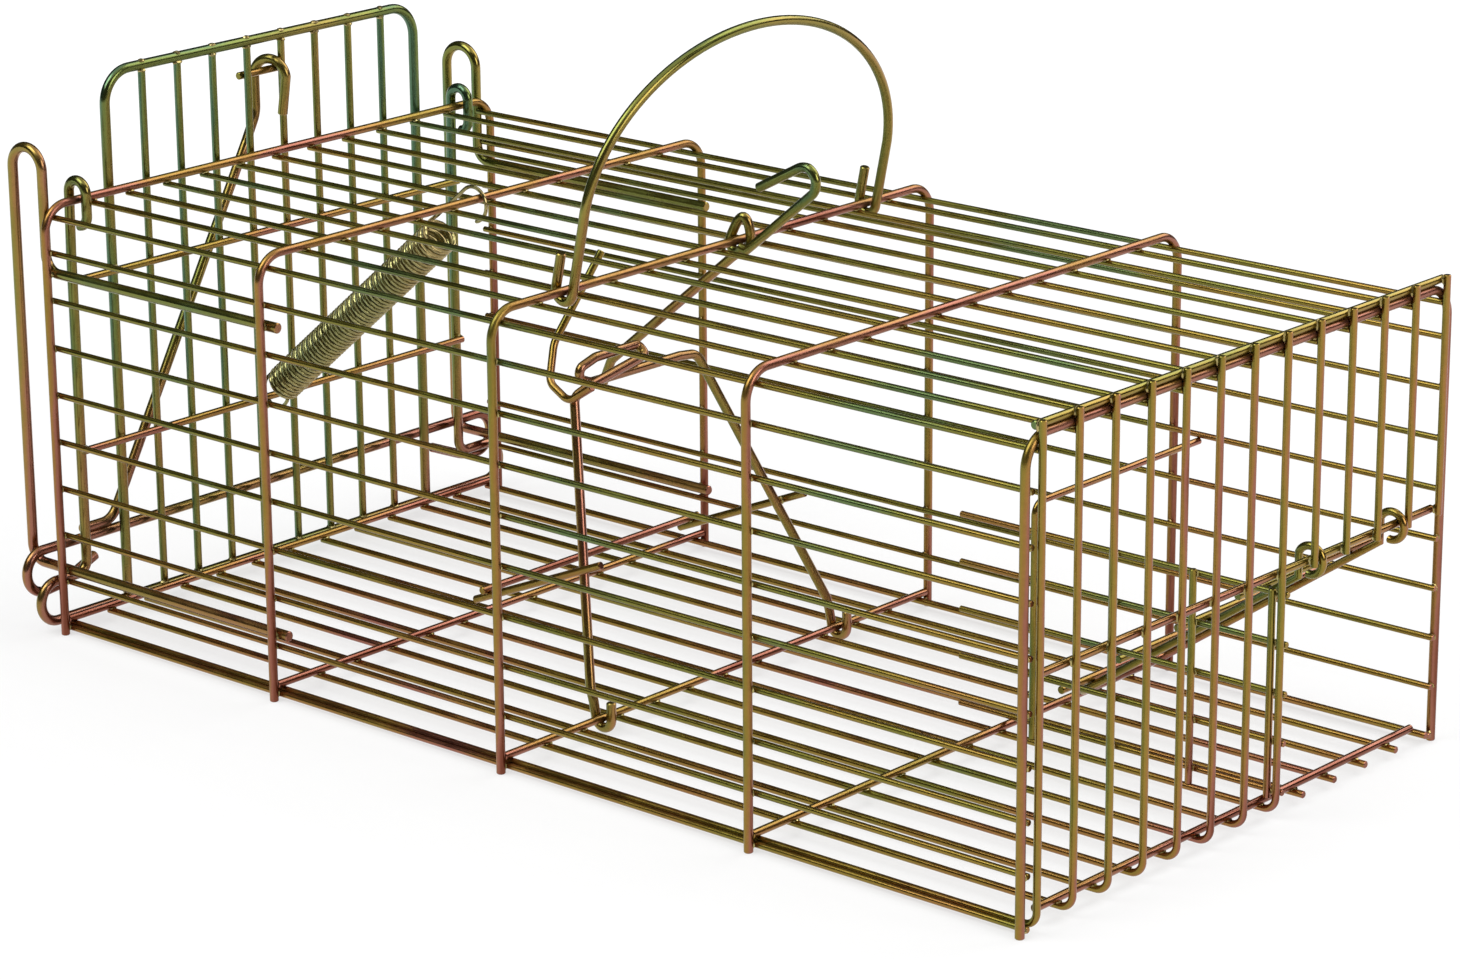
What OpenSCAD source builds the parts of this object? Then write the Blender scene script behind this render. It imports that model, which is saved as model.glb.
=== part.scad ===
// Wire cage trap with a sprung rear door, a lock bar, a treadle trigger and a one-way side entrance.
// X runs along the cage from the door to the front, Y across it, Z up from the cut ends of the hoop legs.

/* [Cage] */
// Distance from one hoop to the next
hoop_pitch = 70; // [60:1:80]
// Half the width between the centre lines of a hoop's legs
leg_y = 72.4; // [66:0.1:80]
// Height of the centre line of the hoops' top bars
top_z = 102; // [92:0.5:112]
// Radius of the hoops' upper corners
hoop_corner_r = 6.5; // [4:0.5:10]
// Wire of the hoops
hoop_d = 2; // [1.8:0.1:2.4]
// Number of long wires in the top and in the floor
long_count = 13; // [9:2:15]
// Distance between two long wires
long_pitch = 11.55; // [10:0.05:12]
// Wire of the top and the sides
long_d = 1.4; // [1.2:0.1:1.6]
// Number of wires in each side
side_count = 9; // [7:1:9]
// Height of the lowest side wire
side_first_z = 1.5; // [1:0.1:3]
// Distance between two side wires
side_pitch = 11.2; // [10:0.1:12]
// Wire of the floor and of the front uprights
front_d = 1.6; // [1.4:0.1:1.8]
// Height of the centre line of the floor wires
floor_z = 2; // [1.6:0.1:3]
// Wire of the straight cross bars
bar_d = 1.8; // [1.6:0.1:2]
// How deep a weld sinks one wire into the other
weld = 0.1; // [0.05:0.01:0.12]
// How far a wire's blunt end stands past its last bar
overhang = 1.2; // [0.8:0.1:2]

/* [Entrance] */
// Number of front uprights that run full height
full_upright_count = 8; // [7:1:9]
// Height of the bar above the entrance
mid_bar_z = 53.5; // [45:0.5:62]
// Length of the entrance tunnel behind the front
tunnel_l = 85; // [70:1:95]
// Number of long wires in the tunnel wall
tunnel_wire_count = 5; // [4:1:6]
// Height of the lowest wire in the tunnel wall
tunnel_first_z = 5.8; // [5:0.1:8]
// Distance between two wires of the tunnel wall
tunnel_wire_pitch = 10.8; // [9:0.1:11]
// Distance between two uprights of the tunnel wall
tunnel_upright_pitch = 20.7; // [18:0.1:22]
// Length of the flap from its hinge to its lower bar
flap_l = 75; // [60:1:78]
// Angle of the resting flap below level
flap_angle = 36; // [30:1:38]
// Half the distance between the flap's two eyes
flap_eye_half = 15.05; // [10:0.05:16]
// Half the width of the flap's cross bars
flap_half_w = 26; // [22:0.5:26.5]
// Number of cross bars on the flap
flap_bar_count = 4; // [3:1:6]

/* [Door] */
// Wire of the door frame, guides, lock bar and arm
heavy_d = 2.4; // [2:0.1:2.6]
// Half the width between the door frame's legs
door_leg_y = 62; // [58:0.5:63]
// Half the width between the raised panel's legs
panel_leg_y = 49.8; // [46:0.1:52]
// Height of the raised panel's top bar
panel_top_z = 128.7; // [120:0.1:135]
// Radius of the raised panel's upper corners
panel_corner_r = 7.5; // [5:0.5:10]
// Number of thin bars in the door
door_bar_count = 8; // [6:1:9]
// Distance between two thin bars of the door
door_bar_pitch = 11; // [9:0.1:11]
// Height of the door's bottom bar
door_bottom_z = 2.6; // [2.4:0.1:4]
// Height of the lower cross bar
low_cross_z = 42; // [36:0.5:46]
// Height of the upper cross bar
high_cross_z = 82.7; // [76:0.1:86]
// Radius of the side bumps that stop the door on the hoop legs
bump_r = 4.8; // [4.4:0.1:4.9]
// Running gap round a hinge bar or a hook
hook_gap = 0.3; // [0.2:0.05:0.4]

/* [Guides and lock] */
// Height of the guides' lower runs
guide_low_z = 15.4; // [15:0.1:18]
// Height of the guides' upper runs
guide_high_z = 86.3; // [85:0.1:87]
// Height of the top of the guides' loops
guide_crown_z = 114.5; // [108:0.5:122]
// Width of the slot between a guide's legs, centre to centre
guide_slot = 10; // [9:0.5:11]
// Length of the guides' runs along the cage
guide_run_l = 76; // [74:1:80]
// Radius of the guides' single bends
guide_bend_r = 4; // [3:0.5:4.5]
// Height of the lock bar
lock_z = 19; // [18.8:0.1:20.5]
// Height of the arm's hook over the peg
arm_hook_z = 123; // [122:0.5:128]

/* [Spring] */
// Outer diameter of the door spring
spring_od = 9; // [7.5:0.5:9]
// Wire of the door spring
spring_d = 0.8; // [0.6:0.05:0.8]
// Full curls of the door spring
spring_curls = 53; // [30:1:56]
// Length of the coiled stretch
spring_coil_l = 71; // [69:0.5:74]

/* [Handle and trigger] */
// Wire of the handle, the trigger lever and the treadle
light_d = 2.2; // [2:0.1:2.3]
// Half the distance between the handle's hooks
handle_half_w = 50; // [49:0.5:53]
// Height of the handle above the middle hoop
handle_h = 51.5; // [44:0.5:58]
// Height where the handle's arch starts
handle_straight = 16; // [10:0.5:22]
// Lean of the handle towards the front
handle_lean = 12; // [0:1:20]
// Half the distance between the treadle's feet
treadle_foot_y = 40; // [38.5:0.5:42]
// Half the width of the treadle frame at its top
treadle_top_y = 21; // [18:0.5:24]
// Height of the treadle frame's top
treadle_top_z = 68; // [62:0.5:70]
// How far the treadle frame leans towards the door
treadle_lean = 25; // [22:0.5:27]
// How far the tray reaches from the treadle's pivot
tray_reach = 44; // [36:0.5:48]

/* [Hidden] */
wire_fn = 24;
sweep_sides = 8;
// Share of its radius at which a swept wire's flat sides lie.
flat_share = cos(180 / sweep_sides);
hoop_x = [for (i = [-2:2]) i * hoop_pitch];
rear_x = hoop_x[0];
front_x = hoop_x[4];
guide_inner_x = rear_x - 2.5;
guide_outer_x = guide_inner_x - guide_slot;
upright_x = front_x + hoop_d / 2 + front_d / 2 - weld;

top_wire_z = top_z - hoop_d / 2 - long_d / 2 + weld;
corner_reach = hoop_corner_r - hoop_d / 2 - long_d / 2 + weld;
side_wire_y = leg_y - hoop_d / 2 - long_d / 2 + weld;
guide_y = leg_y - hoop_d / 2 - heavy_d / 2 + weld;
floor_bar_z = floor_z + front_d / 2 + bar_d / 2 - weld;
front_floor_bar_x = front_x - 2;
long_y = [for (i = [0:long_count - 1]) (i - (long_count - 1) / 2) * long_pitch];
wire_rear_x = rear_x - hoop_d / 2 - 0.3;
floor_bar_half = leg_y - hoop_d / 2 + weld;
front_top_bar_z = top_z + hoop_d / 2 + bar_d / 2 + weld / 2;
mid_bar_x = upright_x - front_d / 2 - bar_d / 2 + weld;
wall_y = long_y[full_upright_count - 1];
wall_wire_y = wall_y + front_d / 2 + long_d / 2 - 0.8 * weld;
upright_j_r = 3;
stop_z = side_first_z + 5 * side_pitch - long_d / 2 - front_d / 2 + weld;
stop_x = front_x - 3 * tunnel_upright_pitch + 0.2;

door_x = rear_x - 3.5;
cross_x = door_x + heavy_d / 2 + bar_d / 2 - weld;
door_bar_x = cross_x - bar_d + weld;
eye_r = hoop_d / 2 + hook_gap + heavy_d / 2;
eye_x = rear_x;
peg_x = door_bar_x - bar_d + weld / 2;
arm_shaft_x = rear_x - 9;
arm_tip_x = rear_x - 1;
arm_hook_r = (arm_tip_x - arm_shaft_x) / 2;
peg_z = arm_hook_z - heavy_d / 2 - bar_d / 2 - 0.5;
arm_y = 0;
arm_foot_y = 50.5;
arm_turn_z = 106;
arm_bends = [5, 8];
arm_tip_drop = 13.5;
lock_x = rear_x - 7.2;
lock_loop_r = 5;
lock_loop_y = leg_y + 4.6;

spring_y = -3.5;
spring_low = [cross_x, low_cross_z];
spring_high = [hoop_x[1], top_z];
spring_span = norm(spring_high - spring_low);
spring_dir = (spring_high - spring_low) / spring_span;
spring_up = [-spring_dir[1], spring_dir[0]];
spring_r = (spring_od - spring_d) / 2;

lever_y = 5.8;
lever_eye_r = hoop_d / 2 + hook_gap + light_d / 2;
lever_half_turn = 1.3;
lever_hook_x = 17;
lever_hook_z = 15.5;
lever_hook_size = [5.2, 3.2];
lever_tip = [4.2, 12.6];
lever_neck = [5.2, 4];
lever_catch = [[-3.6, -4.8], [-43, -30], [-45, -39], [-38, -44]];
lever_bend_r = 4;
handle_eye_r = lever_eye_r;
handle_tail = 3;
handle_neck = 6;
foot_r = bar_d / 2 + hook_gap + light_d / 2;
foot_z = floor_bar_z;
foot_tail = 4;
leg_start = [-foot_r - 1.5, foot_z + 6];
fold_in = 2.4;
fold_z = [1.5, 5.2, 9, 6];
fold_bend_r = 1.8;
top_bend_r = 3;
tray_z = 33;
tray_slope = 0.42;
tray_tail = 7;
tray_bar_in = 4;
tray_bar_over = 2;
bait_z = 63;
bait_foot = [8, 0, 2.4];
bait_bends = [4, 6];
bait_neck = 9;
bait_tip = [3, 31];
flap_d = bar_d;
flap_eye_r = bar_d / 2 + hook_gap + flap_d / 2;
flap_mid_y = (wall_y + leg_y) / 2 - 1.5;
flap_neck = 6;
flap_drop = flap_eye_r - 0.4;
flap_first_bar = 14;

// The box round the trap reaches from the guides' outer legs to the flap's eyes.
box_low_x = guide_outer_x - heavy_d / 2;
box_high_x = mid_bar_x + flap_eye_r + flap_d / 2;
centre_shift = -(box_low_x + box_high_x) / 2;

// Height of a top wire at y: those in the hoops' rounded corners lie lower.
function top_wire_height(y) = let (over = abs(y) - leg_y + hoop_corner_r)
    over <= 0 ? top_wire_z : top_z - hoop_corner_r + sqrt(corner_reach * corner_reach - over * over);

// A list from its last member to its first.
function reversed(list) = [for (i = [len(list) - 1:-1:0]) list[i]];

// Unit vector along v.
function unit(v) = v / norm(v);

// The points of one rounded corner, from the leg a-b into the leg b-c.
function corner(a, b, c, r, steps) =
    let (u = unit(a - b), v = unit(c - b), open = acos(u * v), turn = 180 - open,
        t = r / tan(open / 2), middle = b + unit(u + v) * r / sin(open / 2),
        p = b + u * t - middle, q = b + v * t - middle)
    [for (k = [0:steps]) let (s = k / steps)
        middle + (sin((1 - s) * turn) * p + sin(s * turn) * q) / sin(turn)];

// A route through the points, with every inner corner rounded to its radius.
function rounded(points, radii, steps = 4) = concat([points[0]],
    [for (i = [1:len(points) - 2])
        each corner(points[i - 1], points[i], points[i + 1], radii[i - 1], steps)],
    [points[len(points) - 1]]);

// The wire's direction at every point of a route.
function headings(path) = let (last = len(path) - 1) [for (i = [0:last])
    i == 0 ? unit(path[1] - path[0])
    : i == last ? unit(path[last] - path[last - 1])
    : unit(unit(path[i] - path[i - 1]) + unit(path[i + 1] - path[i]))];

// Side directions that turn as little as they can along the route.
function carried(ways, i, side) = i == len(ways) ? []
    : let (now = unit(side - (side * ways[i]) * ways[i])) concat([now], carried(ways, i + 1, now));

// Any direction square to v.
function square_to(v) = abs(v[1]) < 0.8 ? unit(cross(v, [0, 1, 0])) : unit(cross(v, [1, 0, 0]));

// A bent wire of diameter d along a route, as one closed tube with flat cut ends.
module wire_along(path, d, sides = sweep_sides) {
    ways = headings(path);
    side_list = carried(ways, 0, square_to(ways[0]));
    last = len(path) - 1;
    points = [for (i = [0:last]) for (k = [0:sides - 1])
        let (a = 360 * (k + 0.5) / sides, other = cross(ways[i], side_list[i]))
        path[i] + d / 2 * (cos(a) * side_list[i] + sin(a) * other)];
    walls = [for (i = [0:last - 1]) for (k = [0:sides - 1])
        let (m = (k + 1) % sides, p = i * sides + k, q = i * sides + m)
        each [[p, p + sides, q + sides], [p, q + sides, q]]];
    first_cap = [for (k = [1:sides - 2]) [0, k, k + 1]];
    base = last * sides;
    last_cap = [for (k = [1:sides - 2]) [base, base + k + 1, base + k]];
    polyhedron(points, concat(walls, first_cap, last_cap));
}

// A straight round wire between two points.
module rod(a, b, d) {
    v = b - a;
    level = norm([v[0], v[1]]);
    translate(a)
        rotate([0, 0, level == 0 ? 0 : atan2(v[1], v[0])])
            rotate([0, atan2(level, v[2]), 0])
                cylinder(h = norm(v), d = d, $fn = wire_fn);
}

// A bent round wire from the origin up +Z. Each leg is [length, bend radius, bend angle, roll before the bend].
module bend_wire(d, legs, i = 0) {
    length = legs[i][0];
    r = legs[i][1];
    a = legs[i][2];
    if (length > 0) cylinder(h = length, d = d, $fn = wire_fn);
    if (a > 0)
        translate([0, 0, length])
            rotate([0, 0, legs[i][3]]) {
                translate([r, 0, 0])
                    rotate([90, 0, 0])
                        rotate([0, 0, 180 - a])
                            rotate_extrude(angle = a, $fn = 48)
                                translate([r, 0])
                                    circle(d = d, $fn = wire_fn);
                translate([r * (1 - cos(a)), 0, r * sin(a)])
                    rotate([0, a, 0])
                        if (i + 1 < len(legs)) bend_wire(d, legs, i + 1);
            }
}

// Places a piece that is drawn from the middle of the cage.
module placed() {
    translate([centre_shift, 0, 0]) children();
}

// One hoop: two legs and a top bar bent from one wire.
module hoop(x) {
    color("#8c8a52") placed()
        translate([x, -leg_y, 0])
            rotate([0, 0, 90])
                bend_wire(hoop_d, [[top_z - hoop_corner_r, hoop_corner_r, 90, 0],
                    [2 * (leg_y - hoop_corner_r), hoop_corner_r, 90, 0],
                    [top_z - hoop_corner_r, 0, 0, 0]]);
}

module hoop_rear() { hoop(hoop_x[0]); }
module hoop_second() { hoop(hoop_x[1]); }
module hoop_middle() { hoop(hoop_x[2]); }
module hoop_fourth() { hoop(hoop_x[3]); }
module hoop_front() { hoop(hoop_x[4]); }

// The long wires under the hoops' top bars.
module top_wires() {
    color("#7f8a4c") placed()
        for (y = long_y)
            rod([wire_rear_x, y, top_wire_height(y)],
                [upright_x - front_d / 2 + weld / 2, y, top_wire_height(y)], long_d);
}

// The long wires inside the legs of one side.
module side_wires(way) {
    color("#8a7a52") placed()
        for (k = [0:side_count - 1])
            rod([wire_rear_x, way * side_wire_y, side_first_z + k * side_pitch],
                [front_x + 0.8, way * side_wire_y, side_first_z + k * side_pitch], long_d);
}

module near_side_wires() { side_wires(-1); }
module far_side_wires() { side_wires(1); }

// The floor: the wires under the entrance end blunt, the others run on into the front uprights.
module floor_wires() {
    color("#7d6f45") placed()
        for (i = [0:long_count - 1])
            rod([wire_rear_x, long_y[i], floor_z],
                [i < full_upright_count ? upright_x - upright_j_r : front_floor_bar_x + bar_d / 2 + 2,
                    long_y[i], floor_z], front_d);
}

// The cross bars on the floor wires, one at each hoop.
module floor_bars() {
    color("#93804f") placed() {
        for (i = [0:3])
            rod([hoop_x[i], -floor_bar_half, floor_bar_z], [hoop_x[i], floor_bar_half, floor_bar_z], bar_d);
        rod([front_floor_bar_x, -leg_y + 7, floor_bar_z], [front_floor_bar_x, leg_y - 5, floor_bar_z], bar_d);
    }
}

// Front uprights that turn under the front floor bar into the floor wires.
module front_long_wires() {
    color("#8a8f55") placed()
        for (i = [0:full_upright_count - 1])
            translate([upright_x - upright_j_r, long_y[i], floor_z])
                rotate([0, 90, 0])
                    bend_wire(front_d, [[0, upright_j_r, 90, 180],
                        [front_top_bar_z + overhang - floor_z - upright_j_r, 0, 0, 0]]);
}

// Front uprights that stop on the bar above the entrance.
module front_short_wires() {
    color("#8a8f55") placed()
        for (i = [full_upright_count:long_count - 1])
            rod([upright_x, long_y[i], mid_bar_z - overhang], [upright_x, long_y[i], front_top_bar_z + overhang],
                front_d);
}

// The second bar along the front's top edge.
module front_top_bar() {
    color("#93804f") placed()
        rod([mid_bar_x, -leg_y + 2.4, front_top_bar_z], [mid_bar_x, leg_y - 2.4, front_top_bar_z], bar_d);
}

// The bar above the entrance, which is also the flap's hinge bar.
module front_mid_bar() {
    color("#93804f") placed()
        rod([mid_bar_x, -leg_y + 5.4, mid_bar_z], [mid_bar_x, leg_y - 3.4, mid_bar_z], bar_d);
}

// One guide: upper run, loop behind the cage and lower run, bent from one wire.
module guide(way) {
    loop_r = guide_slot / 2;
    color("#a08a58") placed()
        translate([guide_inner_x + guide_run_l, way * guide_y, guide_high_z])
            rotate([0, -90, 0])
                bend_wire(heavy_d, [[guide_run_l - guide_bend_r, guide_bend_r, 90, 0],
                    [guide_crown_z - loop_r - guide_high_z - guide_bend_r, loop_r, 180, 180],
                    [guide_crown_z - loop_r - guide_low_z - guide_bend_r, guide_bend_r, 90, 0],
                    [guide_run_l + guide_slot - guide_bend_r, 0, 0, 0]]);
}

module near_guide() { guide(-1); }
module far_guide() { guide(1); }

// The long wires of the wall beside the entrance tunnel.
module tunnel_wires() {
    color("#7f8a4c") placed()
        for (k = [0:tunnel_wire_count - 1])
            rod([front_x - tunnel_l + 2, wall_wire_y, tunnel_first_z + k * tunnel_wire_pitch],
                [upright_x + 0.8, wall_wire_y, tunnel_first_z + k * tunnel_wire_pitch], long_d);
}

// The uprights of the tunnel wall, the first one beside the front upright.
module tunnel_uprights() {
    top = tunnel_first_z + (tunnel_wire_count - 1) * tunnel_wire_pitch + overhang;
    color("#8a8f55") placed() {
        rod([front_x - 0.6, wall_y, floor_bar_z + bar_d / 2 - weld], [front_x - 0.6, wall_y, top], front_d);
        for (k = [1:2])
            rod([front_x - k * tunnel_upright_pitch + 0.2, wall_y, floor_z + front_d / 2 - weld],
                [front_x - k * tunnel_upright_pitch + 0.2, wall_y, top], front_d);
    }
}

// The wall's last upright, turned over the tunnel as the flap's stop.
module flap_stop() {
    bend_r = 3;
    foot = floor_z + front_d / 2 - weld;
    color("#8a8f55") placed()
        translate([stop_x, wall_y, foot])
            rotate([0, 0, 90])
                bend_wire(front_d, [[stop_z - bend_r - foot, bend_r, 90, 0],
                    [side_wire_y - wall_y - bend_r, 0, 0, 0]]);
}

// The door frame, one wire: an eye over the rear hoop, a leg, a side bump, the bottom bar and back up.
module door_frame() {
    bump_y = leg_y + 3.9;
    shoulder_z = door_bottom_z + 2 * bump_r;
    eye_z = top_z + hook_gap + hoop_d / 2 + heavy_d / 2 - eye_r;
    function side(way) = concat(
        [[eye_x + eye_r, way * door_leg_y, top_z - 7.5]],
        [for (k = [0:8]) [eye_x + eye_r * cos(22.5 * k), way * door_leg_y, eye_z + eye_r * sin(22.5 * k)]],
        rounded([[eye_x - eye_r, way * door_leg_y, eye_z - 1], [door_x, way * door_leg_y, high_cross_z + 6],
            [door_x, way * door_leg_y, shoulder_z], [door_x, way * (bump_y - bump_r), shoulder_z]], [12, 3]),
        [for (k = [1:12]) [door_x, way * (bump_y - bump_r + bump_r * sin(15 * k)),
            door_bottom_z + bump_r + bump_r * cos(15 * k)]]);
    color("#9c9a52") placed()
        wire_along(concat(side(-1), reversed(side(1))), heavy_d);
}

// The raised panel's frame, which stands past the hinge so that the spring and the peg have leverage.
module door_panel_frame() {
    foot = door_bottom_z + heavy_d / 2 - weld;
    color("#9c9a52") placed()
        translate([door_x, -panel_leg_y, foot])
            rotate([0, 0, 90])
                bend_wire(heavy_d, [[panel_top_z - panel_corner_r - foot, panel_corner_r, 90, 0],
                    [2 * (panel_leg_y - panel_corner_r), panel_corner_r, 90, 0],
                    [panel_top_z - panel_corner_r - foot, 0, 0, 0]]);
}

// The door's thin upright bars.
module door_bars() {
    color("#8a8f55") placed()
        for (i = [0:door_bar_count - 1]) {
            y = (i - (door_bar_count - 1) / 2) * door_bar_pitch;
            rod([door_bar_x, y, door_bottom_z + heavy_d / 2 - weld],
                [door_bar_x, y, panel_top_z - heavy_d / 2 + weld], bar_d);
        }
}

// The two cross bars inside the door.
module door_cross_bars() {
    color("#93804f") placed()
        for (z = [low_cross_z, high_cross_z])
            rod([cross_x, -door_leg_y - 0.3, z], [cross_x, door_leg_y + 0.3, z], bar_d);
}

// The short peg that the arm's hook drops over.
module arm_peg() {
    color("#93804f") placed()
        rod([peg_x, -door_bar_pitch / 2 - 1.5, peg_z], [peg_x, door_bar_pitch / 2 + 1.5, peg_z], bar_d);
}

// The lock bar, whose ends loop round the lower runs of the guides.
module lock_bar() {
    half = lock_loop_y - lock_loop_r;
    low_z = lock_z - 2 * lock_loop_r;
    function loop(way) = concat(
        [for (k = [0:10]) [lock_x, way * (half + lock_loop_r * sin(18 * k)),
            low_z + lock_loop_r + lock_loop_r * cos(18 * k)]],
        [[lock_x, way * (half - 5), low_z + 0.5], [lock_x, way * (half - 16), low_z + 5]]);
    color("#a58c5c") placed()
        wire_along(concat(reversed(loop(-1)), loop(1)), heavy_d);
}

// The arm on the lock bar, hooked over the door's peg at its top.
module set_arm() {
    on_bar_z = lock_z + heavy_d * flat_share - weld / 5;
    color("#a58c5c") placed()
        wire_along(concat(
            rounded([[lock_x, -door_leg_y + 2, on_bar_z], [lock_x, -arm_foot_y, on_bar_z],
                [arm_shaft_x, arm_y, arm_turn_z], [arm_shaft_x, arm_y, arm_hook_z - arm_hook_r]], arm_bends),
            [for (k = [1:10]) [arm_shaft_x + arm_hook_r - arm_hook_r * cos(18 * k), arm_y,
                arm_hook_z - arm_hook_r + arm_hook_r * sin(18 * k)]],
            [[arm_tip_x, arm_y, arm_hook_z - arm_tip_drop]]), heavy_d);
}

// A point of the spring from its place along the span, its height above the axis and its side.
function spring_point(s, n, w) = let (p = spring_low + s * spring_dir + n * spring_up) [p[0], spring_y + w, p[1]];

// One end of the spring: a hook round a bar of radius bar_r, a straight stretch, and the turn into the coil.
function spring_end(bar_r, s0) = let (c = spring_r - spring_d / 2 - bar_r - 0.1) concat(
    [for (k = [0:9]) let (a = 300 - k * 70 / 3) [c + spring_r * cos(a), spring_r * sin(a), 0]],
    [for (k = [0:5]) let (u = k / 5) [s0 - 2.2 * (1 - u) * (1 - u), spring_r * cos(90 * u * u),
        spring_r * sin(90 * u * u)]]);

spring_lead = spring_coil_l / (spring_curls + 0.5);
spring_start_s = 6;
spring_path = concat(
    [for (p = spring_end(bar_d / 2, spring_start_s)) spring_point(p[0], p[1], p[2])],
    [for (k = [1:spring_curls * 8 + 3]) let (turn = k / 8)
        spring_point(spring_start_s + turn * spring_lead, spring_r * cos(90 + 360 * turn),
            spring_r * sin(90 + 360 * turn))],
    [for (p = reversed(spring_end(hoop_d / 2, spring_span - spring_start_s - spring_coil_l)))
        spring_point(spring_span - p[0], p[1], -p[2])]);

// The least gap between the spring's wire and itself, over points at least half a curl apart.
spring_gap = min([for (i = [0:len(spring_path) - 6]) for (j = [i + 5:min(i + 22, len(spring_path) - 1)])
    norm(spring_path[i] - spring_path[j])]) - spring_d;
echo(spring_gap = spring_gap);

// The door's tension spring, hooked to the lower cross bar and to the second hoop.
module door_spring() {
    color("#a3a3a0") placed() wire_along(spring_path, spring_d, 6);
}

// The trigger lever: an upper hook, one turn round the middle hoop and a lower arm with its catch.
module trigger_lever() {
    high_y = lever_y - lever_half_turn;
    low_y = lever_y + lever_half_turn;
    eye = [for (k = [0:16]) let (a = -30 - 22.5 * k)
        [lever_eye_r * cos(a), high_y + (low_y - high_y) * k / 16, top_z + lever_eye_r * sin(a)]];
    hook = [for (k = [0:6]) [lever_hook_x + lever_hook_size[0] * sin(30 * k), high_y,
        top_z + lever_hook_z + lever_hook_size[1] * cos(30 * k)]];
    color("#8d8650") placed()
        wire_along(concat(
            [[lever_tip[0], high_y, top_z + lever_tip[1]]],
            hook,
            [[lever_neck[0], high_y, top_z + lever_neck[1]]],
            eye,
            rounded([for (p = lever_catch) [p[0], low_y, top_z + p[1]]], [lever_bend_r, lever_bend_r])), light_d);
}

// The treadle frame: two hooked feet, two legs and a top bar folded back on itself.
module treadle_frame() {
    top = treadle_top_z;
    lean = -treadle_lean;
    near_in = fold_in - treadle_top_y;
    middle_y = 0.5;
    function foot(way) = concat([[foot_r, way * treadle_foot_y, foot_z + foot_tail]],
        [for (k = [0:8]) [foot_r * cos(22.5 * k), way * treadle_foot_y, foot_z - foot_r * sin(22.5 * k)]],
        [[-foot_r - 0.6, way * treadle_foot_y, foot_z + 3]]);
    color("#8a7a4c") placed()
        wire_along(concat(foot(-1),
            rounded([[leg_start[0], -treadle_foot_y, leg_start[1]], [lean, -treadle_top_y, top],
                [lean, middle_y, top + fold_z[0]], [lean, middle_y, top + fold_z[1]],
                [lean, near_in, top + fold_z[1]], [lean, near_in, top + fold_z[2]],
                [lean, treadle_top_y - 2, top + fold_z[3]], [lean, treadle_top_y, top - 2],
                [leg_start[0], treadle_foot_y, leg_start[1]]],
                [top_bend_r, fold_bend_r, fold_bend_r, fold_bend_r, fold_bend_r, top_bend_r, top_bend_r]),
            reversed(foot(1))), light_d);
}

// A point on one treadle leg at height z.
function leg_at(way, z) = let (s = (z - leg_start[1]) / (treadle_top_z - leg_start[1]))
    [leg_start[0] - s * (leg_start[0] + treadle_lean), way * (treadle_foot_y + s * (treadle_top_y - treadle_foot_y)), z];

// The tray in front of the treadle frame: two side wires and a cross bar.
module treadle_tray() {
    cross_at = leg_at(1, tray_z);
    side = cross_at[1] + (light_d + bar_d) / 2 - weld;
    bar_x = tray_bar_in - tray_reach;
    bar_half = side + tray_bar_over;
    function tray_height(x) = tray_z + (x - cross_at[0]) * tray_slope;
    bar_z = tray_height(bar_x) + bar_d - weld;
    color("#8a7a4c") placed() {
        for (way = [-1, 1])
            rod([cross_at[0] + tray_tail, way * side, tray_height(cross_at[0] + tray_tail)],
                [-tray_reach, way * side, tray_height(-tray_reach)], bar_d);
        rod([bar_x, -bar_half, bar_z], [bar_x, bar_half, bar_z], bar_d);
    }
}

// The bait hook on the treadle frame's near corner.
module bait_hook() {
    seat = leg_at(-1, bait_z);
    square = unit(cross(unit(leg_at(-1, bait_z + 1) - seat), unit(bait_foot)));
    y = seat[1] - ((light_d + bar_d) / 2 * flat_share - weld / 2) / abs(square[1]);
    middle = [seat[0], y, bait_z];
    color("#8a7a4c") placed()
        wire_along(rounded([middle + bait_foot, middle - bait_foot, middle + [-bait_foot[0], 0, bait_neck],
            middle + [bait_tip[0], 0, bait_tip[1]]], bait_bends), bar_d);
}

// The carrying handle: an arch with a hook round the middle hoop at each end.
module carry_handle() {
    rise = handle_h - handle_straight;
    function end(way) = concat([[-handle_eye_r, way * handle_half_w, handle_tail]],
        [for (k = [0:8]) [-handle_eye_r * cos(22.5 * k), way * handle_half_w, -handle_eye_r * sin(22.5 * k)]]);
    color("#9a8f55") placed()
        translate([hoop_x[2], 0, top_z])
            rotate([0, handle_lean, 0])
                wire_along(concat(end(-1), [[handle_eye_r, -handle_half_w, handle_neck]],
                    [for (k = [0:20]) let (a = 180 - 9 * k)
                        [handle_eye_r * (1 - sin(a)), handle_half_w * cos(a), handle_straight + rise * sin(a)]],
                    [[handle_eye_r, handle_half_w, handle_neck]],
                    reversed(end(1))), light_d);
}

// Puts a piece of the flap, drawn along -X from its hinge, in its resting place.
module on_flap() {
    placed()
        translate([mid_bar_x, flap_mid_y, mid_bar_z])
            rotate([0, -flap_angle, 0]) children();
}

// The flap's bent frame with an eye at each end.
module flap_frame() {
    function eye(way) = [for (k = [0:12]) let (a = 22.5 * k - 150)
        [flap_eye_r * cos(a), way * flap_eye_half, flap_eye_r * sin(a)]];
    color("#8a8f55") on_flap()
        wire_along(concat(eye(-1),
            rounded([[-flap_neck, -flap_eye_half, -flap_drop], [-flap_l, -flap_eye_half, 0],
                [-flap_l, flap_eye_half, 0], [-flap_neck, flap_eye_half, -flap_drop]], [4, 4]),
            reversed(eye(1))), flap_d);
}

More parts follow.
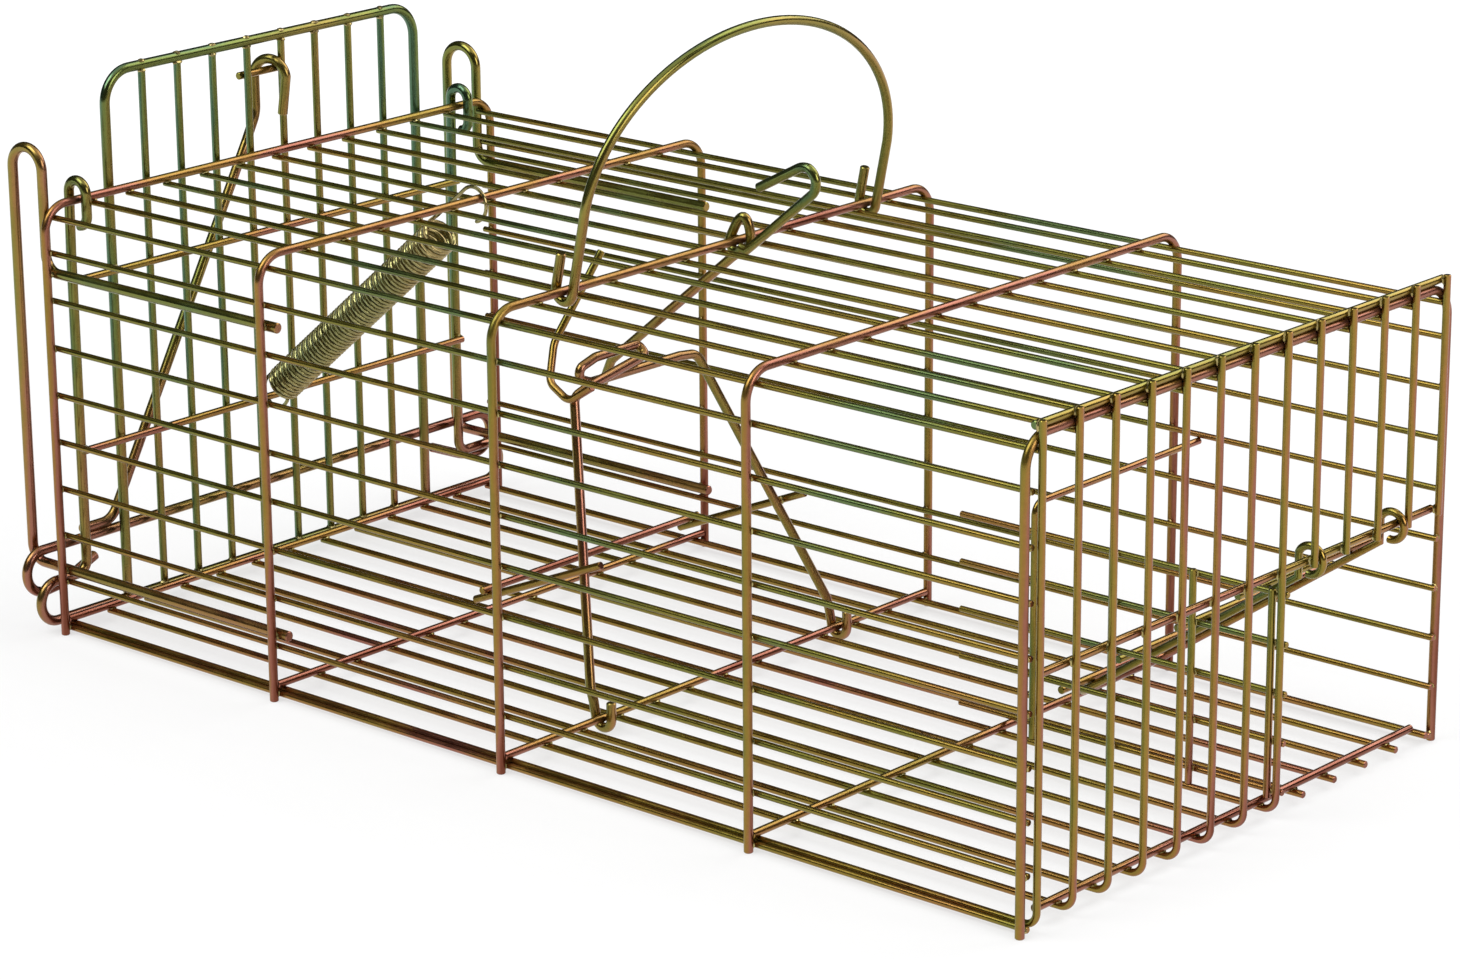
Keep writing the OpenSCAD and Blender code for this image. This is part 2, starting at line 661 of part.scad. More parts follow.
// The cross bars on the flap.
module flap_bars() {
    step = (flap_l - 6 - flap_first_bar) / (flap_bar_count - 1);
    color("#93804f") on_flap()
        for (k = [0:flap_bar_count - 1]) {
            x = -flap_first_bar - k * step;
            height = flap_d / 2 * flat_share + bar_d / 2 - weld / 2
                - flap_drop * (flap_l + x) / (flap_l - flap_neck);
            rod([x, -flap_half_w, height], [x, flap_half_w, height], bar_d);
        }
}

hoop_rear();
hoop_second();
hoop_middle();
hoop_fourth();
hoop_front();
top_wires();
near_side_wires();
far_side_wires();
floor_wires();
floor_bars();
front_long_wires();
front_short_wires();
front_top_bar();
front_mid_bar();
near_guide();
far_guide();
tunnel_wires();
tunnel_uprights();
flap_stop();
door_frame();
door_panel_frame();
door_bars();
door_cross_bars();
arm_peg();
door_spring();
lock_bar();
set_arm();
trigger_lever();
treadle_frame();
treadle_tray();
bait_hook();
carry_handle();
flap_frame();
flap_bars();
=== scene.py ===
"""A live-catch cage trap of yellow-passivated wire, on a white studio floor.

Every piece of bent wire is a smooth tube carried along its route. Routes are written in millimetres
from the middle of the cage, as the CAD's are, and are moved and scaled to metres when the mesh is made.
"""

import bpy
import numpy as np
from mathutils import Matrix


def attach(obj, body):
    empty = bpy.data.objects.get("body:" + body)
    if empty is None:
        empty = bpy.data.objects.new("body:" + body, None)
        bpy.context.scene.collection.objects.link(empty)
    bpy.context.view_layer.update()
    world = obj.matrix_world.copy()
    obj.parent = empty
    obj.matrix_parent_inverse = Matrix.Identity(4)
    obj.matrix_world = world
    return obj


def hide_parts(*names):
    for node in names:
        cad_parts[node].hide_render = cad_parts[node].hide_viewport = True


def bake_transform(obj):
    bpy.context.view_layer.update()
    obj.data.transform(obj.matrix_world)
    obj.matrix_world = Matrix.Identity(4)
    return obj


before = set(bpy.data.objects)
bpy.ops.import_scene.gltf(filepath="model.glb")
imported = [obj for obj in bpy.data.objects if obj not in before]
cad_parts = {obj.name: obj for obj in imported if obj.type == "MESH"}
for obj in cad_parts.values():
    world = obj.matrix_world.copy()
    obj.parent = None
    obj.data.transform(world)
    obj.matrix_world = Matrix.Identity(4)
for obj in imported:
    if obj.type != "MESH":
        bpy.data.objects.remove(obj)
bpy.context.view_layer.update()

# Sizes of the cage in millimetres
CENTRE_SHIFT = 5.3
METRES = 0.001
HOOP_X = np.array([-140.0, -70.0, 0.0, 70.0, 140.0])
REAR_X = HOOP_X[0]
FRONT_X = HOOP_X[4]
LEG_Y = 72.4
TOP_Z = 102.0
HOOP_CORNER = 6.5
HOOP_WIRE = 2.0
LONG_WIRE = 1.4
FRONT_WIRE = 1.6
BAR_WIRE = 1.8
HEAVY_WIRE = 2.4
LIGHT_WIRE = 2.2
WELD = 0.1
OVERHANG = 1.2
LONG_PITCH = 11.55
LONG_Y = (np.arange(13) - 6) * LONG_PITCH
FULL_UPRIGHTS = 8
SIDE_LOW_Z = 1.5
SIDE_PITCH = 11.2
SIDE_Z = SIDE_LOW_Z + SIDE_PITCH * np.arange(9)
SIDE_END_X = FRONT_X + 0.8
FLOOR_Z = 2.0
FLOOR_BAR_Z = FLOOR_Z + FRONT_WIRE / 2 + BAR_WIRE / 2 - WELD
FRONT_FLOOR_BAR_X = FRONT_X - 2.0
BLUNT_END_X = FRONT_FLOOR_BAR_X + BAR_WIRE / 2 + 2.0
TOP_WIRE_Z = TOP_Z - HOOP_WIRE / 2 - LONG_WIRE / 2 + WELD
SIDE_WIRE_Y = LEG_Y - HOOP_WIRE / 2 - LONG_WIRE / 2 + WELD
WIRE_REAR_X = REAR_X - HOOP_WIRE / 2 - 0.3
UPRIGHT_X = FRONT_X + HOOP_WIRE / 2 + FRONT_WIRE / 2 - WELD
UPRIGHT_BEND = 3.0
TOP_END_X = UPRIGHT_X - FRONT_WIRE / 2 + WELD / 2
FRONT_TOP_BAR_Z = TOP_Z + HOOP_WIRE / 2 + BAR_WIRE / 2 + WELD / 2
MID_BAR_X = UPRIGHT_X - FRONT_WIRE / 2 - BAR_WIRE / 2 + WELD
MID_BAR_Z = 53.5

# How far the front's bars end before the centres of the near and the far leg
FLOOR_BAR_SHORT = (7.0, 5.0)
TOP_BAR_SHORT = (2.4, 2.4)
MID_BAR_SHORT = (5.4, 3.4)

# The wall beside the entrance, whose third upright turns over as the flap's stop
WALL_Y = LONG_Y[FULL_UPRIGHTS - 1]
WALL_WIRE_Y = WALL_Y + FRONT_WIRE / 2 + LONG_WIRE / 2 - 0.8 * WELD
WALL_LOW_Z = 5.8
WALL_RISE = 10.8
WALL_Z = WALL_LOW_Z + WALL_RISE * np.arange(5)
WALL_REAR_X = FRONT_X - 83.0
WALL_END_X = UPRIGHT_X + 0.8
WALL_FRONT_X = FRONT_X - 0.6
WALL_PITCH = 20.7
WALL_X = FRONT_X + 0.2 - WALL_PITCH * np.arange(1, 4)
WALL_FOOT_Z = FLOOR_Z + FRONT_WIRE / 2 - WELD
STOP_Z = SIDE_Z[5] - LONG_WIRE / 2 - FRONT_WIRE / 2 + WELD
STOP_X = WALL_X[2]

# The door, its guides and its lock
DOOR_X = REAR_X - 3.5
CROSS_X = DOOR_X + HEAVY_WIRE / 2 + BAR_WIRE / 2 - WELD
DOOR_BAR_X = CROSS_X - BAR_WIRE + WELD
DOOR_LEG_Y = 62.0
PANEL_LEG_Y = 49.8
PANEL_TOP_Z = 128.7
PANEL_CORNER = 7.5
DOOR_BOTTOM_Z = 2.6
DOOR_BAR_Y = (np.arange(8) - 3.5) * 11.0
CROSS_Z = (42.0, 82.7)
CROSS_HALF = DOOR_LEG_Y + 0.3
PANEL_FOOT_Z = DOOR_BOTTOM_Z + HEAVY_WIRE / 2 - WELD
BUMP = 4.8
BUMP_Y = LEG_Y + 3.9 - BUMP
HOOK_GAP = 0.3
DOOR_EYE = HOOP_WIRE / 2 + HOOK_GAP + HEAVY_WIRE / 2 + 0.4
DOOR_EYE_X = REAR_X - 0.3
DOOR_EYE_Z = TOP_Z + 1.4
DOOR_TAIL = 2.6
DOOR_TAIL_Z = TOP_Z - 3.6
DOOR_STRAIGHT_Z = CROSS_Z[1] + 6.0
GUIDE_Y = LEG_Y - HOOP_WIRE / 2 - HEAVY_WIRE / 2 + WELD
GUIDE_INNER_X = REAR_X - 2.5
GUIDE_SLOT = 10.0
GUIDE_LOW_Z = 15.4
GUIDE_HIGH_Z = 86.3
GUIDE_CROWN_Z = 114.5
GUIDE_RUN = 76.0
GUIDE_BEND = 4.0
LOCK_X = REAR_X - 7.2
LOCK_Z = 19.0
LOCK_LOOP = 5.0
LOCK_LOW_Z = LOCK_Z - 2 * LOCK_LOOP
LOCK_HALF = LEG_Y + 4.6 - LOCK_LOOP
# Inward and upward steps of the lock bar's short tails
LOCK_TAIL = ((5.0, 0.5), (16.0, 5.0))
LOCK_TAIL_BEND = 14.0
ARM_FOOT_Y = -DOOR_LEG_Y + 2.0
ARM_FOOT_Z = LOCK_Z + HEAVY_WIRE * np.cos(np.pi / 8) - WELD / 5
ARM_BEND_Y = -50.5
ARM_SHOULDER_Y = -1.5
ARM_SHOULDER_Z = 103.0
ARM_STRAIGHT_Z = 109.5
ARM_BENDS = (5, 6, 8)
ARM_SHAFT_X = REAR_X - 9.0
ARM_TIP_X = REAR_X
ARM_HOOK = (ARM_TIP_X - ARM_SHAFT_X) / 2
ARM_HOOK_Z = 123.0
ARM_HOOK_Y = 2.0
ARM_SKEW = 0.9
ARM_TIP_BACK = 0.8
ARM_TIP_DROP = 13.0
PEG_HALF = 7.0
PEG_X = DOOR_BAR_X - BAR_WIRE + WELD / 2
PEG_Z = ARM_HOOK_Z - HEAVY_WIRE / 2 - BAR_WIRE / 2 - 0.5

# The door spring
SPRING_Y = -3.5
SPRING_OUTER = 9.0
SPRING_WIRE = 0.9
SPRING_R = (SPRING_OUTER - SPRING_WIRE) / 2
SPRING_CURLS = 60
CURL_STEPS = 16
SPRING_COILED = 71.0
SPRING_START = 6.0
SPRING_EASE = 2.2
SPRING_HOOK_PLAY = 0.1

# The trigger, the treadle, the handle and the flap
EYE = HOOP_WIRE / 2 + HOOK_GAP + LIGHT_WIRE / 2
LEVER_HIGH_Y = 4.5
LEVER_LOW_Y = 7.1
# Corners of the lever's upper hook and of its long arm, as x and z
LEVER_HOOK = ((6.9, 115.0), (19.8, 121.9), (27.2, 120.0), (3.4, 100.4))
LEVER_ARM = ((-3.0, 97.4), (-39.7, 67.2), (-42.5, 61.0))
LEVER_STEPS = 41
LEVER_LIFT = 1.2
FOOT = BAR_WIRE / 2 + HOOK_GAP + LIGHT_WIRE / 2
FOOT_TAIL = 4.0
FOOT_END_X = -FOOT - 0.6
FOOT_END = 3.0
TREADLE_FOOT_Y = 40.0
LEG_FOOT_X = -FOOT - 1.5
LEG_FOOT_Z = FLOOR_BAR_Z + 6.0
TREADLE_TOP_Y = 21.0
TREADLE_TOP_Z = 68.0
TREADLE_LEAN = 25.0
LOOP_HALF = 1.15
# Corners of the treadle's folded top: before (1), on (0) or behind (-1) its plane, then y and the height
# over TREADLE_TOP_Z. TREADLE_BENDS has the radius of the bend at each of them
TREADLE_FOLD = ((0, -TREADLE_TOP_Y, -0.5), (1, -17.0, 1.5), (1, 1.2, 4.6), (-1, 1.2, 6.6), (-1, -12.7, 6.6),
                (-1, -21.4, 4.2), (-1, -14.5, 1.2), (0, 13.8, 1.3), (0, 19.6, 0.6))
TREADLE_BENDS = (2.6, 5, 1.25, 1.25, 4, 1.7, 5, 5, 3)
# Corners of the bait hook beside the treadle's leg, as x and z, and those of its leant end
BAIT_LOW = ((-17.5, 71.6), (-24.6, 67.0))
BAIT_LEANT = ((-31.5, -22.0, 69.8), (-34.2, -17.5, 77.5), (-31.1, -4.9, 96.5))
BAIT_BENDS = (4, 4, 8)
TRAY_REACH = 44.0
TRAY_PAST_LEG = 7.0
TRAY_BAR_X = -TRAY_REACH + 4.0
TRAY_BAR_PAST = 2.0
TRAY_Z = 33.0
TRAY_SLOPE = 0.42
HANDLE_HALF = 50.0
HANDLE_HIGH = 51.5
HANDLE_STRAIGHT = 16.0
HANDLE_LEAN = 12.0
HANDLE_TAIL = 7.8
HANDLE_LEG = 6.0
FLAP_EYE = BAR_WIRE / 2 + HOOK_GAP + BAR_WIRE / 2
FLAP_RING = FLAP_EYE + 1.0
FLAP_RING_X = -1.25
FLAP_DROP = FLAP_EYE - 0.4
FLAP_NECK = 6.0
FLAP_FIRST_BAR = 14.0
FLAP_EYE_HALF = 15.05
FLAP_HALF = 26.0
FLAP_LENGTH = 75.0
FLAP_ANGLE = 36.0
FLAP_MID_Y = (WALL_Y + LEG_Y) / 2 - 1.5


def unit(vectors):
    """Vectors divided by their lengths."""
    return vectors / np.linalg.norm(vectors, axis=-1, keepdims=True)


def rounded(points, radii, steps=10):
    """A route through points whose inner corners are arcs: each arc touches both legs at r / tan(half
    the angle between them), and its points are the even blend of its two end spokes along the circle."""
    points = np.array(points, float)
    arcs = [points[:1]]
    for before, here, after, r in zip(points, points[1:], points[2:], radii):
        u = unit(before - here)
        v = unit(after - here)
        opening = np.arccos(np.clip(u @ v, -1, 1))
        turn = np.pi - opening
        if turn < 0.002:
            arcs.append(here[None])
            continue
        middle = here + unit(u + v) * r / np.sin(opening / 2)
        first = here + u * r / np.tan(opening / 2) - middle
        second = here + v * r / np.tan(opening / 2) - middle
        s = np.linspace(0, 1, steps + 1)[:, None]
        arcs.append(middle + (np.sin((1 - s) * turn) * first + np.sin(s * turn) * second) / np.sin(turn))
    arcs.append(points[-1:])
    return np.concatenate(arcs)


def arc(centre, across, up, r, start, end, steps=16):
    """Points on a circle: centre + r cos(a) across + r sin(a) up, with a in degrees from start to end."""
    a = np.radians(np.linspace(start, end, steps + 1))[:, None]
    return np.array(centre, float) + r * np.cos(a) * np.array(across) + r * np.sin(a) * np.array(up)


def side_directions(route):
    """Headings of a route, and side directions that don't twist along it: any square direction at each
    point, turned back by the running sum of the angles by which it differs from the one carried on."""
    legs = unit(np.diff(route, axis=0))
    ways = unit(np.concatenate([legs[:1], legs[:-1] + legs[1:], legs[-1:]]))
    axes = np.eye(3)[np.argmin(np.abs(ways), axis=1)]
    square = unit(np.cross(ways, axes))
    here, there = ways[:-1], ways[1:]
    scale = np.sum(square[:-1] * there, axis=1) / (1 + np.sum(here * there, axis=1))
    moved = square[:-1] - scale[:, None] * (here + there)
    sine = np.sum(np.cross(moved, square[1:]) * there, axis=1)
    angle = np.concatenate([[0.0], -np.cumsum(np.arctan2(sine, np.sum(moved * square[1:], axis=1)))])
    other = np.cross(ways, square)
    return ways, np.cos(angle)[:, None] * square + np.sin(angle)[:, None] * other


def tube(route, width, sides):
    """A round wire: rings of radius width / 2 square to the route, with a small chamfer and a flat
    disc at both cut ends. Vertex (i, k) is route[i] + r (cos(a_k) side + sin(a_k) other)."""
    route = np.array(route, float)
    keep = np.concatenate([[True], np.linalg.norm(np.diff(route, axis=0), axis=1) > 1e-4])
    route = route[keep]
    chamfer = 0.1 * width
    ends = unit(np.stack([route[1] - route[0], route[-2] - route[-1]])) * chamfer
    route = np.concatenate([route[:1], route[:1] + ends[0], route[1:-1], route[-1:] + ends[1], route[-1:]])
    ways, side = side_directions(route)
    other = np.cross(ways, side)
    radius = np.full(len(route), width / 2)
    radius[[0, -1]] -= chamfer
    a = np.linspace(0, 2 * np.pi, sides, endpoint=False)
    ring = np.cos(a)[None, :, None] * side[:, None] + np.sin(a)[None, :, None] * other[:, None]
    points = route[:, None] + radius[:, None, None] * ring
    base = np.arange(len(route) - 1)[:, None] * sides
    here = np.arange(sides)[None]
    there = (here + 1) % sides
    quads = np.stack([base + here, base + there, base + there + sides, base + here + sides], axis=-1)
    flat = np.concatenate([points.reshape(-1, 3), route[:1], route[-1:]])
    first = np.stack([np.full(sides, len(flat) - 2), there[0], here[0]], axis=-1)
    last_ring = (len(route) - 1) * sides
    last = np.stack([np.full(sides, len(flat) - 1), last_ring + here[0], last_ring + there[0]], axis=-1)
    return flat, quads.reshape(-1, 4), np.concatenate([first, last])


def bead(centre, first, second, size, seed):
    """A weld bead: an ellipsoid centre + cos(v) (cos(u) a + sin(u) b) + sin(v) c, whose radius swells by
    a few per cent in waves of u and v, so that no two beads have the same outline."""
    across = unit(np.array(first, float))
    along = unit(np.array(second, float))
    up = np.cross(across, along)
    u, v = np.meshgrid(np.linspace(0, 2 * np.pi, 10, endpoint=False), np.linspace(-1.25, 1.25, 5))
    swell = 1 + 0.14 * np.sin(2 * u + seed) * np.cos(v) + 0.1 * np.sin(3 * u + 2.3 * seed)
    flat = (np.cos(v) * np.cos(u) * swell)[..., None] * across * size[0]
    flat = flat + (np.cos(v) * np.sin(u) * swell)[..., None] * along * size[1]
    points = np.array(centre, float) + flat + np.sin(v)[..., None] * up * size[2]
    rows, columns = points.shape[:2]
    base = np.arange(rows - 1)[:, None] * columns
    here = np.arange(columns)[None]
    there = (here + 1) % columns
    quads = np.stack([base + here, base + there, base + there + columns, base + here + columns], axis=-1)
    poles = np.array(centre, float) + np.array([[-1.0], [1.0]]) * up * size[2]
    flat = np.concatenate([points.reshape(-1, 3), poles])
    low = np.stack([np.full(columns, len(flat) - 2), there[0], here[0]], axis=-1)
    last_row = (rows - 1) * columns
    high = np.stack([np.full(columns, len(flat) - 1), last_row + here[0], last_row + there[0]], axis=-1)
    return flat, quads.reshape(-1, 4), np.concatenate([low, high])


def put_in(name, contents):
    """A new object with a mesh, lamp or camera in it, linked into the scene."""
    thing = bpy.data.objects.new(name, contents)
    bpy.context.collection.objects.link(thing)
    return thing


def make_piece(name, surfaces, body, nodes, material):
    """One mesh piece from a list of surfaces, shaded smooth and sharp at the cut ends."""
    offset = 0
    points = []
    faces = []
    for flat, quads, triangles in surfaces:
        points.append(flat)
        faces += (quads + offset).tolist()
        faces += (triangles + offset).tolist()
        offset += len(flat)
    places = (np.concatenate(points) + [CENTRE_SHIFT, 0, 0]) * METRES
    mesh = bpy.data.meshes.new(name)
    mesh.from_pydata(places.tolist(), [], faces)
    mesh.shade_smooth()
    mesh.set_sharp_from_angle(angle=np.radians(35))
    mesh.materials.append(material)
    piece = put_in(name, mesh)
    if body:
        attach(piece, body)
    if nodes:
        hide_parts(*nodes)
    return piece


def wires(routes, width, sides=20):
    """Tubes of one width along several routes."""
    return [tube(route, width, sides) for route in routes]


def placed_node(tree, kind, **inputs):
    """A shader node with some of its inputs set."""
    node = tree.nodes.new(kind)
    for name, value in inputs.items():
        node.inputs[name.replace("_", " ")].default_value = value
    return node


def cleared_tree(owner):
    """The node tree of a material or a world, emptied."""
    owner.use_nodes = True
    owner.node_tree.nodes.clear()
    return owner.node_tree


def noise(tree, place, scale, roughness):
    """A noise of some detail over the piece's own coordinates."""
    node = placed_node(tree, "ShaderNodeTexNoise", Scale=scale, Detail=2.0, Roughness=roughness)
    tree.links.new(place.outputs["Object"], node.inputs["Vector"])
    return node.outputs[0]


def mapped(tree, source, start, end, low, high):
    """A value that runs from low to high while the source runs from start to end."""
    node = placed_node(tree, "ShaderNodeMapRange", From_Min=start, From_Max=end, To_Min=low, To_Max=high)
    tree.links.new(source, node.inputs["Value"])
    return node.outputs[0]


def larger(tree, first, second):
    """The larger one of two values."""
    node = tree.nodes.new("ShaderNodeMath")
    node.operation = "MAXIMUM"
    tree.links.new(first, node.inputs[0])
    tree.links.new(second, node.inputs[1])
    return node.outputs[0]


def split_by_ray(tree, lighting, shown, output):
    """Shows one shader to the camera, in reflections and through clear things, and lights the scene with
    the other one."""
    seen = tree.nodes.new("ShaderNodeLightPath")
    either = larger(tree, seen.outputs["Is Camera Ray"], seen.outputs["Is Glossy Ray"])
    through = larger(tree, either, seen.outputs["Is Transmission Ray"])
    pick = tree.nodes.new("ShaderNodeMixShader")
    tree.links.new(through, pick.inputs[0])
    tree.links.new(lighting.outputs[0], pick.inputs[1])
    tree.links.new(shown.outputs[0], pick.inputs[2])
    tree.links.new(pick.outputs[0], output.inputs["Surface"])


# How strongly each cause moves the film's colour, where its scale begins, and the height in metres at
# which low_tint changes nothing
SLOW_DRIFT = 1.5
QUICK_DRIFT = 0.25
# The next two numbers paint an iridescent sheen: the film turns greener on the side that faces this way and
# redder on the side away from it
PAINTED_SHEEN_DRIFT = 0.3
PAINTED_SHEEN_WAY = (-0.75, -0.45, 0.1)
FILM_START = -0.34
MIDDLE_HEIGHT = 0.06


def zinc(name, stops, roughness, low_tint, shift=0.0):
    """Passivated wire: a metal whose film colour wanders along the wire between gold, green and rose, has a
    painted iridescent sheen that turns it greener on the side facing one way and redder on the other, and
    turns redder towards the floor by low_tint. A positive shift makes the whole piece greener and a negative
    one redder. Fine pits roughen its surface."""
    material = bpy.data.materials.new(name)
    tree = cleared_tree(material)
    link = tree.links.new
    output = tree.nodes.new("ShaderNodeOutputMaterial")
    shader = placed_node(tree, "ShaderNodeBsdfPrincipled", Metallic=0.94, Coat_Weight=0.1,
                         Coat_Roughness=0.15)
    link(shader.outputs[0], output.inputs["Surface"])
    place = tree.nodes.new("ShaderNodeTexCoord")

    # The film's thickness: slow drift, quick drift, height above the floor, and a painted sheen by the side
    # it faces
    slow = noise(tree, place, 17.0, 0.5)
    quick = noise(tree, place, 110.0, 0.5)
    axes = tree.nodes.new("ShaderNodeSeparateXYZ")
    link(place.outputs["Object"], axes.inputs[0])
    painted_sheen_side = tree.nodes.new("ShaderNodeVectorMath")
    painted_sheen_side.operation = "DOT_PRODUCT"
    painted_sheen_side.inputs[1].default_value = PAINTED_SHEEN_WAY
    link(place.outputs["Normal"], painted_sheen_side.inputs[0])
    total = None
    for socket, factor in ((slow, SLOW_DRIFT), (quick, QUICK_DRIFT), (axes.outputs["Z"], low_tint),
                           (painted_sheen_side.outputs["Value"], PAINTED_SHEEN_DRIFT)):
        step = tree.nodes.new("ShaderNodeMath")
        step.operation = "MULTIPLY_ADD"
        link(socket, step.inputs[0])
        step.inputs[1].default_value = factor
        if total is None:
            step.inputs[2].default_value = shift + FILM_START - MIDDLE_HEIGHT * low_tint
        else:
            link(total, step.inputs[2])
        total = step.outputs[0]
    ramp = tree.nodes.new("ShaderNodeValToRGB")
    ramp.color_ramp.interpolation = "EASE"
    ramp.color_ramp.elements[0].position = stops[0][0]
    ramp.color_ramp.elements[0].color = (*stops[0][1], 1)
    ramp.color_ramp.elements[1].position = stops[-1][0]
    ramp.color_ramp.elements[1].color = (*stops[-1][1], 1)
    for position, colour in stops[1:-1]:
        ramp.color_ramp.elements.new(position).color = (*colour, 1)
    link(total, ramp.inputs[0])

    # Small dull specks
    specks = noise(tree, place, 900.0, 0.7)
    shade = tree.nodes.new("ShaderNodeMix")
    shade.data_type = "RGBA"
    shade.blend_type = "MULTIPLY"
    shade.inputs["Factor"].default_value = 1.0
    link(ramp.outputs[0], shade.inputs["A"])
    link(mapped(tree, specks, 0.35, 0.65, 0.92, 1.0), shade.inputs["B"])
    link(shade.outputs["Result"], shader.inputs["Base Color"])

    # Fine pits, and a roughness that varies with the quick drift
    link(mapped(tree, quick, 0.3, 0.7, roughness - 0.06, roughness + 0.1), shader.inputs["Roughness"])
    bump = placed_node(tree, "ShaderNodeBump", Strength=0.03, Distance=0.0001)
    link(specks, bump.inputs["Height"])
    link(bump.outputs[0], shader.inputs["Normal"])
    return material


# Film colours from thin to thick: red-brown, rose, gold, olive, green and blue-green. The spring's run from
# gold to green, and the beads have a bright middle between two dark ends
CAGE_STOPS = [(0.0, (0.2, 0.058, 0.03)), (0.2, (0.33, 0.125, 0.08)), (0.38, (0.33, 0.17, 0.042)),
              (0.56, (0.29, 0.195, 0.033)), (0.78, (0.2, 0.185, 0.03)), (1.0, (0.12, 0.18, 0.06))]
HEAVY_STOPS = [(0.0, (0.22, 0.07, 0.04)), (0.2, (0.34, 0.14, 0.09)), (0.38, (0.33, 0.18, 0.055)),
               (0.56, (0.27, 0.2, 0.042)), (0.78, (0.18, 0.195, 0.04)), (1.0, (0.11, 0.19, 0.075))]
DOOR_STOPS = [(0.0, (0.2, 0.06, 0.035)), (0.2, (0.31, 0.13, 0.08)), (0.38, (0.29, 0.17, 0.05)),
              (0.56, (0.23, 0.18, 0.04)), (0.78, (0.14, 0.17, 0.04)), (1.0, (0.08, 0.16, 0.09))]
SPRING_STOPS = [(0.0, (0.3, 0.19, 0.08)), (0.35, (0.38, 0.29, 0.12)), (0.6, (0.32, 0.3, 0.12)),
                (1.0, (0.22, 0.29, 0.12))]
BEAD_STOPS = [(0.05, (0.1, 0.06, 0.03)), (0.4, (0.36, 0.28, 0.1)), (0.6, (0.5, 0.42, 0.17)),
              (0.95, (0.16, 0.15, 0.06))]
cage_metal = zinc("cage_wire_zinc", CAGE_STOPS, roughness=0.22, low_tint=3.2)
front_metal = zinc("front_wire_zinc", CAGE_STOPS, roughness=0.22, low_tint=3.2, shift=0.22)
heavy_metal = zinc("heavy_wire_zinc", HEAVY_STOPS, roughness=0.22, low_tint=3.4)
hoop_metal = zinc("hoop_wire_zinc", CAGE_STOPS, roughness=0.3, low_tint=3.2, shift=-0.14)
door_thin_metal = zinc("door_wire_zinc", DOOR_STOPS, roughness=0.22, low_tint=3.2, shift=0.16)
door_thick_metal = zinc("door_frame_zinc", DOOR_STOPS, roughness=0.22, low_tint=3.4, shift=0.18)
spring_metal = zinc("spring_wire_zinc", SPRING_STOPS, roughness=0.2, low_tint=0.6)
bead_metal = zinc("weld_bead_zinc", BEAD_STOPS, roughness=0.24, low_tint=0.5)


def cage_top_height(y):
    """Height of a top wire at y: the wires in the hoops' rounded corners lie lower, on the corner's arc."""
    over = np.maximum(np.abs(y) - LEG_Y + HOOP_CORNER, 0)
    reach = HOOP_CORNER - HOOP_WIRE / 2 - LONG_WIRE / 2 + WELD
    arc_height = TOP_Z - HOOP_CORNER + np.sqrt(np.maximum(reach ** 2 - over ** 2, 0))
    return np.where(over > 0, arc_height, TOP_WIRE_Z)


def straight(start, end):
    """The two ends of a straight wire."""
    return np.array([start, end], float)


def lengthwise(start_x, end_x, places):
    """Straight routes along the trap, one at each y and z."""
    return [straight((start_x, y, z), (end_x, y, z)) for y, z in places]


def upright(x, y, low, high):
    """A straight upright route."""
    return straight((x, y, low), (x, y, high))


def cross_bar(x, z, short):
    """A bar across the cage that ends before the leg centres by one length at each side."""
    return straight((x, -LEG_Y + short[0], z), (x, LEG_Y - short[1], z))


def at_y(y, corners):
    """Points at one y, from corners given as x and z."""
    return [(x, y, z) for x, z in corners]


# The cage: hoops, long wires, floor and front
SIDES = ((-1, "near"), (1, "far"))
for hoop_name, x in zip(("hoop_rear", "hoop_second", "hoop_middle", "hoop_fourth", "hoop_front"), HOOP_X):
    hoop_route = rounded([(x, -LEG_Y, 0), (x, -LEG_Y, TOP_Z), (x, LEG_Y, TOP_Z), (x, LEG_Y, 0)],
                         [HOOP_CORNER, HOOP_CORNER], 14)
    make_piece(f"wire_{hoop_name}", wires([hoop_route], HOOP_WIRE, 24), "cage", [hoop_name],
               hoop_metal)

top_heights = cage_top_height(LONG_Y)
make_piece("wire_top_long", wires(lengthwise(WIRE_REAR_X, TOP_END_X, zip(LONG_Y, top_heights)), LONG_WIRE),
           "cage", ["top_wires"], cage_metal)
for way, side_name in SIDES:
    side_places = [(way * SIDE_WIRE_Y, z) for z in SIDE_Z]
    make_piece(f"wire_{side_name}_side", wires(lengthwise(WIRE_REAR_X, SIDE_END_X, side_places), LONG_WIRE),
               "cage", [f"{side_name}_side_wires"], cage_metal)

# The floor wires under the entrance end blunt; the others turn up at the front and run on as its uprights
upright_top = FRONT_TOP_BAR_Z + OVERHANG
floor_routes = [rounded([(WIRE_REAR_X, y, FLOOR_Z), (UPRIGHT_X, y, FLOOR_Z), (UPRIGHT_X, y, upright_top)],
                        [UPRIGHT_BEND], 12) for y in LONG_Y[:FULL_UPRIGHTS]]
floor_routes += lengthwise(WIRE_REAR_X, BLUNT_END_X, [(y, FLOOR_Z) for y in LONG_Y[FULL_UPRIGHTS:]])
make_piece("wire_floor_and_front", wires(floor_routes, FRONT_WIRE), "cage",
           ["floor_wires", "front_long_wires"], cage_metal)
floor_bar_half = LEG_Y - HOOP_WIRE / 2 + WELD
floor_bars = [straight((x, -floor_bar_half, FLOOR_BAR_Z), (x, floor_bar_half, FLOOR_BAR_Z))
              for x in HOOP_X[:4]]
floor_bars.append(cross_bar(FRONT_FLOOR_BAR_X, FLOOR_BAR_Z, FLOOR_BAR_SHORT))
make_piece("wire_floor_cross", wires(floor_bars, BAR_WIRE), "cage", ["floor_bars"], cage_metal)
